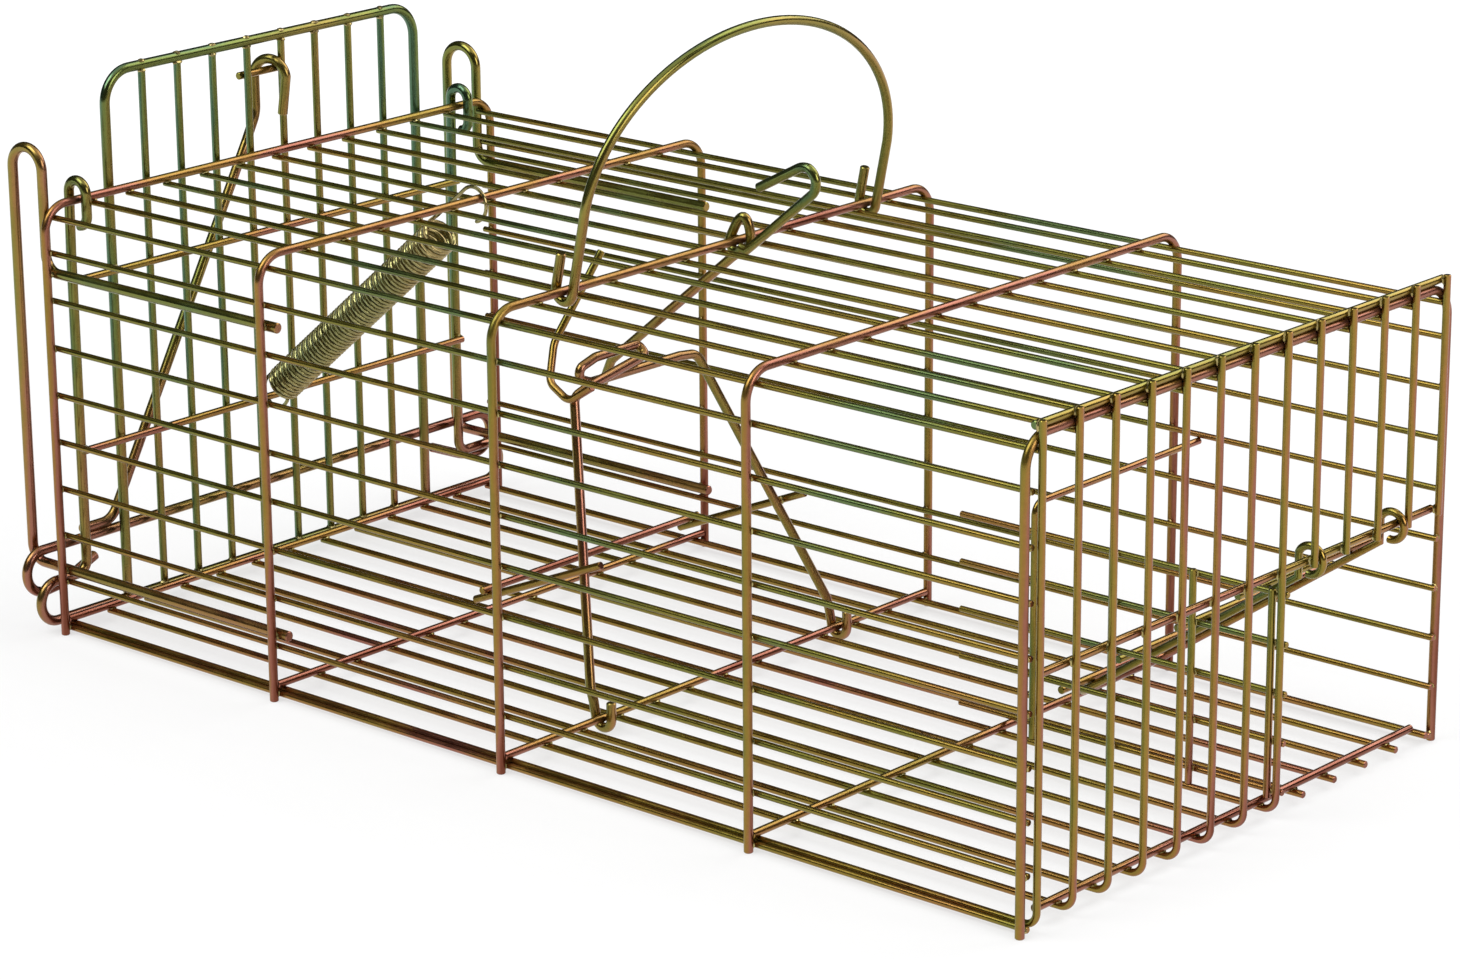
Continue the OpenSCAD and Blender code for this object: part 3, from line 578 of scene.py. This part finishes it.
short_uprights = [upright(UPRIGHT_X, y, MID_BAR_Z - OVERHANG, upright_top) for y in LONG_Y[FULL_UPRIGHTS:]]
make_piece("wire_front_short", wires(short_uprights, FRONT_WIRE), "cage", ["front_short_wires"],
           cage_metal)
make_piece("wire_front_top_cross", wires([cross_bar(MID_BAR_X, FRONT_TOP_BAR_Z, TOP_BAR_SHORT)], BAR_WIRE),
           "cage", ["front_top_bar"], front_metal)
make_piece("wire_front_mid_cross", wires([cross_bar(MID_BAR_X, MID_BAR_Z, MID_BAR_SHORT)], BAR_WIRE),
           "cage", ["front_mid_bar"], cage_metal)

# The two guides with their loops behind the cage
for way, side_name in SIDES:
    y = way * GUIDE_Y
    outer_x = GUIDE_INNER_X - GUIDE_SLOT
    low_end_x = outer_x + GUIDE_RUN + GUIDE_SLOT
    loop_z = GUIDE_CROWN_Z - GUIDE_SLOT / 2
    upper = rounded([(GUIDE_INNER_X + GUIDE_RUN, y, GUIDE_HIGH_Z), (GUIDE_INNER_X, y, GUIDE_HIGH_Z),
                     (GUIDE_INNER_X, y, loop_z)], [GUIDE_BEND], 12)
    crown = arc((GUIDE_INNER_X - GUIDE_SLOT / 2, y, loop_z), (1, 0, 0), (0, 0, 1), GUIDE_SLOT / 2, 0, 180, 24)
    lower = rounded([(outer_x, y, loop_z), (outer_x, y, GUIDE_LOW_Z), (low_end_x, y, GUIDE_LOW_Z)],
                    [GUIDE_BEND], 12)
    guide_route = np.concatenate([upper[:-1], crown, lower[1:]])
    make_piece(f"wire_{side_name}_guide", wires([guide_route], HEAVY_WIRE, 24), "cage",
               [f"{side_name}_guide"], heavy_metal)

# The wall beside the entrance and the stop over it
wall_top = WALL_Z[-1] + OVERHANG
wall_routes = lengthwise(WALL_REAR_X, WALL_END_X, [(WALL_WIRE_Y, z) for z in WALL_Z])
make_piece("wire_wall_long", wires(wall_routes, LONG_WIRE), "cage", ["tunnel_wires"], cage_metal)
wall_uprights = [upright(WALL_FRONT_X, WALL_Y, FLOOR_BAR_Z + BAR_WIRE / 2 - WELD, wall_top)]
wall_uprights += [upright(x, WALL_Y, WALL_FOOT_Z, wall_top) for x in WALL_X[:2]]
make_piece("wire_wall_uprights", wires(wall_uprights, FRONT_WIRE), "cage", ["tunnel_uprights"],
           cage_metal)
make_piece("wire_flap_stop",
           wires([rounded([(STOP_X, WALL_Y, WALL_FOOT_Z), (STOP_X, WALL_Y, STOP_Z),
                           (STOP_X, SIDE_WIRE_Y, STOP_Z)], [UPRIGHT_BEND], 12)], FRONT_WIRE),
           "cage", ["flap_stop"], front_metal)


def door_side(way):
    """Half of the door frame: the eye over the rear hoop, the leg and the bump that meets the hoop leg."""
    y = way * DOOR_LEG_Y
    bump_y = way * BUMP_Y
    shoulder_z = DOOR_BOTTOM_Z + 2 * BUMP
    tail_x = DOOR_EYE_X + DOOR_EYE - DOOR_TAIL
    return np.concatenate([
        arc((tail_x, y, DOOR_TAIL_Z), (0, 0, -1), (1, 0, 0), DOOR_TAIL, -4, 90, 12),
        arc((DOOR_EYE_X, y, DOOR_EYE_Z), (1, 0, 0), (0, 0, 1), DOOR_EYE, 0, 180, 20),
        rounded([(DOOR_EYE_X - DOOR_EYE, y, DOOR_EYE_Z - 1), (DOOR_X, y, DOOR_STRAIGHT_Z),
                 (DOOR_X, y, shoulder_z), (DOOR_X, bump_y, shoulder_z)], [12, 3]),
        arc((DOOR_X, bump_y, DOOR_BOTTOM_Z + BUMP), (0, 0, 1), (0, way, 0), BUMP, 4, 180, 22)])


door_route = np.concatenate([door_side(-1), door_side(1)[::-1]])
make_piece("wire_door_frame", wires([door_route], HEAVY_WIRE, 24), "door", ["door_frame"],
           door_thick_metal)
make_piece("wire_door_panel",
           wires([rounded([(DOOR_X, -PANEL_LEG_Y, PANEL_FOOT_Z), (DOOR_X, -PANEL_LEG_Y, PANEL_TOP_Z),
                           (DOOR_X, PANEL_LEG_Y, PANEL_TOP_Z), (DOOR_X, PANEL_LEG_Y, PANEL_FOOT_Z)],
                          [PANEL_CORNER, PANEL_CORNER], 14)], HEAVY_WIRE, 24),
           "door", ["door_panel_frame"], door_thick_metal)
make_piece("wire_door_bars",
           wires([upright(DOOR_BAR_X, y, PANEL_FOOT_Z, PANEL_TOP_Z - HEAVY_WIRE / 2 + WELD)
                  for y in DOOR_BAR_Y], BAR_WIRE),
           "door", ["door_bars"], door_thin_metal)
make_piece("wire_door_cross",
           wires([straight((CROSS_X, -CROSS_HALF, z), (CROSS_X, CROSS_HALF, z)) for z in CROSS_Z], BAR_WIRE),
           "door", ["door_cross_bars"], cage_metal)
make_piece("wire_arm_peg", wires([straight((PEG_X, -PEG_HALF, PEG_Z), (PEG_X, PEG_HALF, PEG_Z))], BAR_WIRE),
           "door", ["arm_peg"], cage_metal)


# The lock bar with a loop at each end, and the setting arm hooked over the peg
def lock_loop(way):
    """One end of the lock bar: half a turn down round the guide's lower run and a short inward tail."""
    middle = (LOCK_X, way * LOCK_HALF, LOCK_LOW_Z + LOCK_LOOP)
    turn = arc(middle, (0, 0, 1), (0, way, 0), LOCK_LOOP, 0, 180, 22)
    tail = [(LOCK_X, way * (LOCK_HALF - inward), LOCK_LOW_Z + rise) for inward, rise in LOCK_TAIL]
    return np.concatenate([turn[:-1], rounded([turn[-1], *tail], [LOCK_TAIL_BEND], 8)])


make_piece("wire_lock_bar", wires([np.concatenate([lock_loop(-1)[::-1], lock_loop(1)])], HEAVY_WIRE, 24),
           "lock", ["lock_bar"], heavy_metal)
hook_z = ARM_HOOK_Z - ARM_HOOK
arm_shaft = rounded([(LOCK_X, ARM_FOOT_Y, ARM_FOOT_Z), (LOCK_X, ARM_BEND_Y, ARM_FOOT_Z),
                     (ARM_SHAFT_X, ARM_SHOULDER_Y, ARM_SHOULDER_Z), (ARM_SHAFT_X, ARM_HOOK_Y, ARM_STRAIGHT_Z),
                     (ARM_SHAFT_X, ARM_HOOK_Y, hook_z)], ARM_BENDS)
arm_crown = arc((ARM_SHAFT_X + ARM_HOOK, ARM_HOOK_Y + ARM_SKEW, hook_z), (-1, -ARM_SKEW / ARM_HOOK, 0),
                (0, 0, 1), ARM_HOOK, 0, 172, 24)
arm_tip = (ARM_TIP_X - ARM_TIP_BACK, ARM_HOOK_Y + 2 * ARM_SKEW - ARM_TIP_BACK, ARM_HOOK_Z - ARM_TIP_DROP)
arm_route = np.concatenate([arm_shaft[:-1], arm_crown, [arm_tip]])
make_piece("wire_set_arm", wires([arm_route], HEAVY_WIRE, 24), "lock", ["set_arm"], heavy_metal)

# The door spring: a coil along its span with a hook at each end
spring_low = np.array([CROSS_X, CROSS_Z[0]])
spring_high = np.array([HOOP_X[1], TOP_Z])
spring_span = np.linalg.norm(spring_high - spring_low)
spring_way = (spring_high - spring_low) / spring_span


def on_span(points):
    """Points given along the spring's axis, above it and beside it, as places in the cage."""
    along, above, beside = np.array(points, float).T
    x = spring_low[0] + along * spring_way[0] - above * spring_way[1]
    z = spring_low[1] + along * spring_way[1] + above * spring_way[0]
    return np.stack([x, SPRING_Y + beside, z], axis=1)


def spring_hook(bar_radius, start):
    """One end: a ring over 210 degrees round the bar, then a quarter turn that eases into the coil."""
    reach = SPRING_R - SPRING_WIRE / 2 - bar_radius - SPRING_HOOK_PLAY
    a = np.radians(np.linspace(300, 90, 20))
    ring = np.stack([reach + SPRING_R * np.cos(a), SPRING_R * np.sin(a), 0 * a], axis=1)
    u = np.linspace(0, 1, 11)
    ease = np.stack([start - SPRING_EASE * (1 - u) ** 2, SPRING_R * np.cos(np.pi / 2 * u * u),
                     SPRING_R * np.sin(np.pi / 2 * u * u)], axis=1)
    return np.concatenate([ring, ease])


spring_lead = SPRING_COILED / (SPRING_CURLS + 0.5)
coil_turns = np.arange(1, SPRING_CURLS * CURL_STEPS + CURL_STEPS // 2) / CURL_STEPS
coil_angle = np.pi / 2 + 2 * np.pi * coil_turns
coil = np.stack([SPRING_START + coil_turns * spring_lead, SPRING_R * np.cos(coil_angle),
                 SPRING_R * np.sin(coil_angle)], axis=1)
far_hook = spring_hook(HOOP_WIRE / 2, spring_span - SPRING_START - SPRING_COILED)[::-1] * [-1, 1, -1]
far_hook[:, 0] += spring_span
spring_route = on_span(np.concatenate([spring_hook(BAR_WIRE / 2, SPRING_START), coil, far_hook]))
door_spring = make_piece("coil_door_spring", wires([spring_route], SPRING_WIRE, 10), None,
                         ["door_spring"], spring_metal)
# The spring's lower hook is on the door and its upper one on the cage; these are the two ends of its coil, in
# metres
stretch_ends = on_span([(SPRING_START, 0, 0), (SPRING_START + SPRING_COILED, 0, 0)])
stretch_ends = (stretch_ends + [CENTRE_SHIFT, 0, 0]) * METRES
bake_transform(door_spring)

# The trigger lever: an upper hook, one turn round the middle hoop and the long arm
lever_turn = np.radians(np.linspace(-30, -390, LEVER_STEPS))
lever_rise = np.maximum(np.sin(lever_turn), 0)
lever_eye = np.stack([EYE * np.cos(lever_turn) + lever_rise,
                      np.linspace(LEVER_HIGH_Y, LEVER_LOW_Y, LEVER_STEPS),
                      TOP_Z + EYE * np.sin(lever_turn) * (1 + LEVER_LIFT * lever_rise)], axis=1)
lever_hook = rounded(at_y(LEVER_HIGH_Y, LEVER_HOOK), [4.6, 3.4], 14)
lever_arm = rounded(at_y(LEVER_LOW_Y, LEVER_ARM), [4])
lever_route = np.concatenate([lever_hook, lever_eye, lever_arm])
make_piece("wire_trigger_lever", wires([lever_route], LIGHT_WIRE, 24), "trigger",
           ["trigger_lever"], heavy_metal)


def treadle_foot(way):
    """A foot of the treadle frame: a short tail and half a turn under the floor bar."""
    y = way * TREADLE_FOOT_Y
    return np.concatenate([[[FOOT, y, FLOOR_BAR_Z + FOOT_TAIL]],
                           arc((0, y, FLOOR_BAR_Z), (1, 0, 0), (0, 0, -1), FOOT, 0, 180, 18),
                           [[FOOT_END_X, y, FLOOR_BAR_Z + FOOT_END]]])


def on_leg(way, z):
    """The point of a treadle leg at height z."""
    s = (z - LEG_FOOT_Z) / (TREADLE_TOP_Z - LEG_FOOT_Z)
    return np.array([LEG_FOOT_X - s * (LEG_FOOT_X + TREADLE_LEAN),
                     way * (TREADLE_FOOT_Y + s * (TREADLE_TOP_Y - TREADLE_FOOT_Y)), z])


treadle_fold = [(-TREADLE_LEAN + side * LOOP_HALF, y, TREADLE_TOP_Z + rise) for side, y, rise in TREADLE_FOLD]
treadle_legs = rounded([(LEG_FOOT_X, -TREADLE_FOOT_Y, LEG_FOOT_Z), *treadle_fold,
                        (LEG_FOOT_X, TREADLE_FOOT_Y, LEG_FOOT_Z)], TREADLE_BENDS)
treadle_route = np.concatenate([treadle_foot(-1), treadle_legs, treadle_foot(1)[::-1]])
make_piece("wire_treadle_frame", wires([treadle_route], LIGHT_WIRE, 24), "treadle",
           ["treadle_frame"], heavy_metal)
tray_leg = on_leg(1, TRAY_Z)
tray_side = tray_leg[1] + (LIGHT_WIRE + BAR_WIRE) / 2 - WELD
tray_ends_x = (tray_leg[0] + TRAY_PAST_LEG, -TRAY_REACH)
tray_routes = [np.array([(x, way * tray_side, TRAY_Z + (x - tray_leg[0]) * TRAY_SLOPE) for x in tray_ends_x])
               for way in (-1, 1)]
tray_bar_z = TRAY_Z + (TRAY_BAR_X - tray_leg[0]) * TRAY_SLOPE + BAR_WIRE - WELD
tray_bar_half = tray_side + TRAY_BAR_PAST
tray_routes.append(straight((TRAY_BAR_X, -tray_bar_half, tray_bar_z),
                            (TRAY_BAR_X, tray_bar_half, tray_bar_z)))
make_piece("wire_treadle_tray", wires(tray_routes, BAR_WIRE), "treadle", ["treadle_tray"],
           cage_metal)
bait_y = on_leg(-1, TREADLE_TOP_Z - 1)[1] - (LIGHT_WIRE + BAR_WIRE) / 2 + WELD
bait_route = rounded([*at_y(bait_y, BAIT_LOW), *BAIT_LEANT], BAIT_BENDS)
make_piece("wire_bait_hook", wires([bait_route], BAR_WIRE), "treadle", ["bait_hook"], cage_metal)


def handle_end(way):
    """One end of the handle: a tail and half a turn under the middle hoop's top bar."""
    y = way * HANDLE_HALF
    turn = arc((0, y, 0), (-1, 0, 0), (0, 0, -1), EYE, 0, 180, 18)
    return np.concatenate([[[-EYE, y, HANDLE_TAIL]], turn, [[EYE, y, HANDLE_LEG]]])


# The carrying handle: half an ellipse on short straight legs, leant towards the front
arch = np.radians(np.linspace(180, 0, 61))
handle_rise = HANDLE_HIGH - HANDLE_STRAIGHT
handle_arch = np.stack([EYE * (1 - np.sin(arch)), HANDLE_HALF * np.cos(arch),
                        HANDLE_STRAIGHT + handle_rise * np.sin(arch)], axis=1)
handle_route = np.concatenate([handle_end(-1), handle_arch, handle_end(1)[::-1]])
lean_c, lean_s = np.cos(np.radians(HANDLE_LEAN)), np.sin(np.radians(HANDLE_LEAN))
handle_turn = np.array([[lean_c, 0, lean_s], [0, 1, 0], [-lean_s, 0, lean_c]])
make_piece("wire_carry_handle", wires([handle_route @ handle_turn.T + [0, 0, TOP_Z]], LIGHT_WIRE, 24),
           "handle", ["carry_handle"], heavy_metal)


def on_flap(points):
    """Places of points that are drawn along -X from the flap's hinge, hung at the resting angle."""
    c, s = np.cos(np.radians(FLAP_ANGLE)), np.sin(np.radians(FLAP_ANGLE))
    turned = np.array(points, float) @ np.array([[c, 0, -s], [0, 1, 0], [s, 0, c]]).T
    return turned + [MID_BAR_X, FLAP_MID_Y, MID_BAR_Z]


def flap_ring(way):
    """An eye of the flap round its hinge bar."""
    return arc((FLAP_RING_X, way * FLAP_EYE_HALF, 0), (1, 0, 0), (0, 0, 1), FLAP_RING, -140, 120, 28)


flap_route = on_flap(np.concatenate([
    flap_ring(-1),
    rounded([(-FLAP_NECK, -FLAP_EYE_HALF, -FLAP_DROP), (-FLAP_LENGTH, -FLAP_EYE_HALF, 0),
             (-FLAP_LENGTH, FLAP_EYE_HALF, 0), (-FLAP_NECK, FLAP_EYE_HALF, -FLAP_DROP)], [4, 4]),
    flap_ring(1)[::-1]]))
make_piece("wire_flap_frame", wires([flap_route], BAR_WIRE), "flap", ["flap_frame"], cage_metal)
# The cross bars lie on the frame, which slopes from its neck to its end
flap_bar_at = np.linspace(FLAP_FIRST_BAR, FLAP_LENGTH - FLAP_NECK, 4)
flap_frame_z = -FLAP_DROP * (FLAP_LENGTH - flap_bar_at) / (FLAP_LENGTH - FLAP_NECK)
flap_bar_z = flap_frame_z + BAR_WIRE / 2 * np.cos(np.pi / 8) + BAR_WIRE / 2 - WELD / 2
make_piece("wire_flap_bars", wires([on_flap([(-x, -FLAP_HALF, z), (-x, FLAP_HALF, z)])
                                    for x, z in zip(flap_bar_at, flap_bar_z)], BAR_WIRE),
           "flap", ["flap_bars"], cage_metal)

# Weld beads where two wires of one body cross
ALONG, ACROSS, UPWARD = (1, 0, 0), (0, 1, 0), (0, 0, 1)
SMALL_BEAD = (0.95, 0.85, 0.5)
LARGE_BEAD = (1.15, 1.05, 0.6)
SEED_STEP = 1.7
NUB_Z = PANEL_TOP_Z + HEAVY_WIRE / 2 - 0.2
cage_beads = []
for x in HOOP_X:
    cage_beads += [((x, y, z + LONG_WIRE / 2), ALONG, ACROSS, SMALL_BEAD)
                   for y, z in zip(LONG_Y[1:-1], top_heights[1:-1])]
    for way in (-1, 1):
        cage_beads += [((x, way * (SIDE_WIRE_Y + LONG_WIRE / 2), z), ALONG, UPWARD, SMALL_BEAD)
                       for z in SIDE_Z]
for x in (*HOOP_X[:4], FRONT_FLOOR_BAR_X):
    cage_beads += [((x, y, FLOOR_Z + FRONT_WIRE / 2), ALONG, ACROSS, SMALL_BEAD) for y in LONG_Y[1:-1]]
cage_beads += [((UPRIGHT_X - FRONT_WIRE / 2, y, FRONT_TOP_BAR_Z), UPWARD, ACROSS, LARGE_BEAD) for y in LONG_Y]
cage_beads += [((UPRIGHT_X - FRONT_WIRE / 2, y, MID_BAR_Z), UPWARD, ACROSS, LARGE_BEAD) for y in LONG_Y[1:]]
cage_beads += [((x, WALL_Y + FRONT_WIRE / 2, z), ALONG, UPWARD, SMALL_BEAD)
               for x in (*WALL_X[:2], WALL_FRONT_X) for z in WALL_Z]
for way in (-1, 1):
    cage_beads += [((x, way * (GUIDE_Y + HEAVY_WIRE / 2), z), ALONG, UPWARD, LARGE_BEAD)
                   for x in HOOP_X[:2] for z in (GUIDE_LOW_Z, GUIDE_HIGH_Z)]
door_beads = [((DOOR_BAR_X + BAR_WIRE / 2, y, z), ACROSS, UPWARD, SMALL_BEAD)
              for y in DOOR_BAR_Y for z in CROSS_Z]
door_beads += [((DOOR_BAR_X, y, z), ACROSS, ALONG, LARGE_BEAD)
               for y in DOOR_BAR_Y for z in (PANEL_FOOT_Z, PANEL_TOP_Z - HEAVY_WIRE / 2)]
door_beads += [((DOOR_BAR_X, y, NUB_Z), ACROSS, ALONG, SMALL_BEAD) for y in DOOR_BAR_Y]
door_beads += [((DOOR_X + HEAVY_WIRE / 2, way * y, z), ACROSS, UPWARD, LARGE_BEAD) for way in (-1, 1)
               for y in (DOOR_LEG_Y, PANEL_LEG_Y) for z in CROSS_Z]
treadle_beads = [((on_leg(way, TRAY_Z) + [0, way * LIGHT_WIRE / 2, 0]).tolist(), ALONG, UPWARD, LARGE_BEAD)
                 for way in (-1, 1)]
treadle_beads += [((TRAY_BAR_X, way * tray_side, tray_bar_z - BAR_WIRE / 2), ALONG, ACROSS, SMALL_BEAD)
                  for way in (-1, 1)]
for body, specs in (("cage", cage_beads), ("door", door_beads), ("treadle", treadle_beads)):
    beads = [bead(*spec, SEED_STEP * i) for i, spec in enumerate(specs)]
    make_piece(f"weld_beads_{body}", beads, body, [], bead_metal)

# White studio floor: it keeps the trap's soft shadow and is otherwise white to the camera and in the metal
FLOOR_HALF = 6.0
floor_mesh = bpy.data.meshes.new("studio_floor")
floor_mesh.from_pydata([(-FLOOR_HALF, -FLOOR_HALF, 0), (FLOOR_HALF, -FLOOR_HALF, 0),
                        (FLOOR_HALF, FLOOR_HALF, 0), (-FLOOR_HALF, FLOOR_HALF, 0)], [], [(0, 1, 2, 3)])
floor = put_in("studio_floor", floor_mesh)
floor_paint = bpy.data.materials.new("white_floor")
tree = cleared_tree(floor_paint)
paint_out = tree.nodes.new("ShaderNodeOutputMaterial")
matt = placed_node(tree, "ShaderNodeBsdfDiffuse", Color=(0.7, 0.7, 0.7, 1))
shaded = placed_node(tree, "ShaderNodeBsdfDiffuse", Color=(0.28, 0.28, 0.28, 1))
glow = placed_node(tree, "ShaderNodeEmission", Color=(1, 1, 1, 1))
# The glow grows outwards, where the lamps' light falls off, so that the floor stays white to its edge
floor_place = tree.nodes.new("ShaderNodeTexCoord")
distance = tree.nodes.new("ShaderNodeVectorMath")
distance.operation = "LENGTH"
tree.links.new(floor_place.outputs["Object"], distance.inputs[0])
tree.links.new(mapped(tree, distance.outputs["Value"], 0.35, 1.0, 0.66, 0.96), glow.inputs["Strength"])
both = tree.nodes.new("ShaderNodeAddShader")
tree.links.new(shaded.outputs[0], both.inputs[0])
tree.links.new(glow.outputs[0], both.inputs[1])
split_by_ray(tree, matt, both, paint_out)
floor_mesh.materials.append(floor_paint)

# The dark walls of the studio, a ring round the scene that only reflections see: they give round metal
# its dark line between the light of the floor and that of the ceiling
STUDIO_RADIUS = 3.0
STUDIO_EDGES = (0.05, 4.4)
ring = np.radians(np.arange(0, 360, 7.5))
circle = STUDIO_RADIUS * np.stack([np.cos(ring), np.sin(ring)], axis=1)
wall_points = np.concatenate([np.column_stack([circle, np.full(len(ring), z)]) for z in STUDIO_EDGES])
around = np.arange(len(ring))
following = (around + 1) % len(ring)
wall_faces = np.stack([around, around + len(ring), following + len(ring), following], axis=1)
wall_mesh = bpy.data.meshes.new("studio_wall")
wall_mesh.from_pydata(wall_points.tolist(), [], wall_faces.tolist())
studio_wall = put_in("studio_wall", wall_mesh)
studio_wall.visible_camera = False
studio_wall.visible_diffuse = False
studio_wall.visible_shadow = False
studio_wall.visible_transmission = False
wall_paint = bpy.data.materials.new("dark_wall")
wall_paint.use_nodes = True
wall_shader = wall_paint.node_tree.nodes["Principled BSDF"]
wall_shader.inputs["Base Color"].default_value = (0.03, 0.03, 0.03, 1)
wall_shader.inputs["Roughness"].default_value = 1.0
wall_mesh.materials.append(wall_paint)

# World: plain grey light, and white to the camera and in reflections
world = bpy.data.worlds.new("studio")
bpy.context.scene.world = world
tree = cleared_tree(world)
sky_out = tree.nodes.new("ShaderNodeOutputWorld")
fill = placed_node(tree, "ShaderNodeBackground", Color=(1, 1, 1, 1), Strength=0.62)
white = placed_node(tree, "ShaderNodeBackground", Color=(1, 1, 1, 1), Strength=1.0)
split_by_ray(tree, fill, white, sky_out)


def soft_box(name, place, target, size, power):
    """A square area lamp at place that faces target."""
    lamp = bpy.data.lights.new(name, "AREA")
    lamp.shape = "SQUARE"
    lamp.size = size
    lamp.energy = power
    holder = put_in(name, lamp)
    away = unit(np.array(place, float) - np.array(target, float))
    across = unit(np.cross((0, 0, 1), away))
    turned = np.stack([across, np.cross(away, across), away], axis=1)
    holder.matrix_world = Matrix.Translation(place) @ Matrix(turned.tolist()).to_4x4()


TRAP_MIDDLE = (0, 0, 0.05)
soft_box("key_soft_box", (-0.35, -0.75, 1.15), TRAP_MIDDLE, size=0.8, power=9.5)
soft_box("back_soft_box", (0.3, 0.9, 0.9), TRAP_MIDDLE, size=0.9, power=8.0)
soft_box("side_soft_box", (1.1, 0.1, 0.6), TRAP_MIDDLE, size=0.6, power=5.0)

# Camera at the photograph's viewpoint
camera_data = bpy.data.cameras.new("photo_camera")
camera_data.sensor_width = 36.0
camera_data.sensor_fit = "HORIZONTAL"
camera_data.lens = 116.58
camera = put_in("photo_camera", camera_data)
RIGHT, UP, BACK = (0.7523, 0.6588, -0.0072), (-0.1926, 0.2305, 0.9538), (0.63, -0.7162, 0.3003)
CAMERA_PLACE = (0.6665, -0.7494, 0.3606)
camera.matrix_world = Matrix.Translation(CAMERA_PLACE) @ Matrix((RIGHT, UP, BACK)).transposed().to_4x4()
bpy.context.scene.camera = camera
bpy.context.scene.view_settings.view_transform = "Standard"
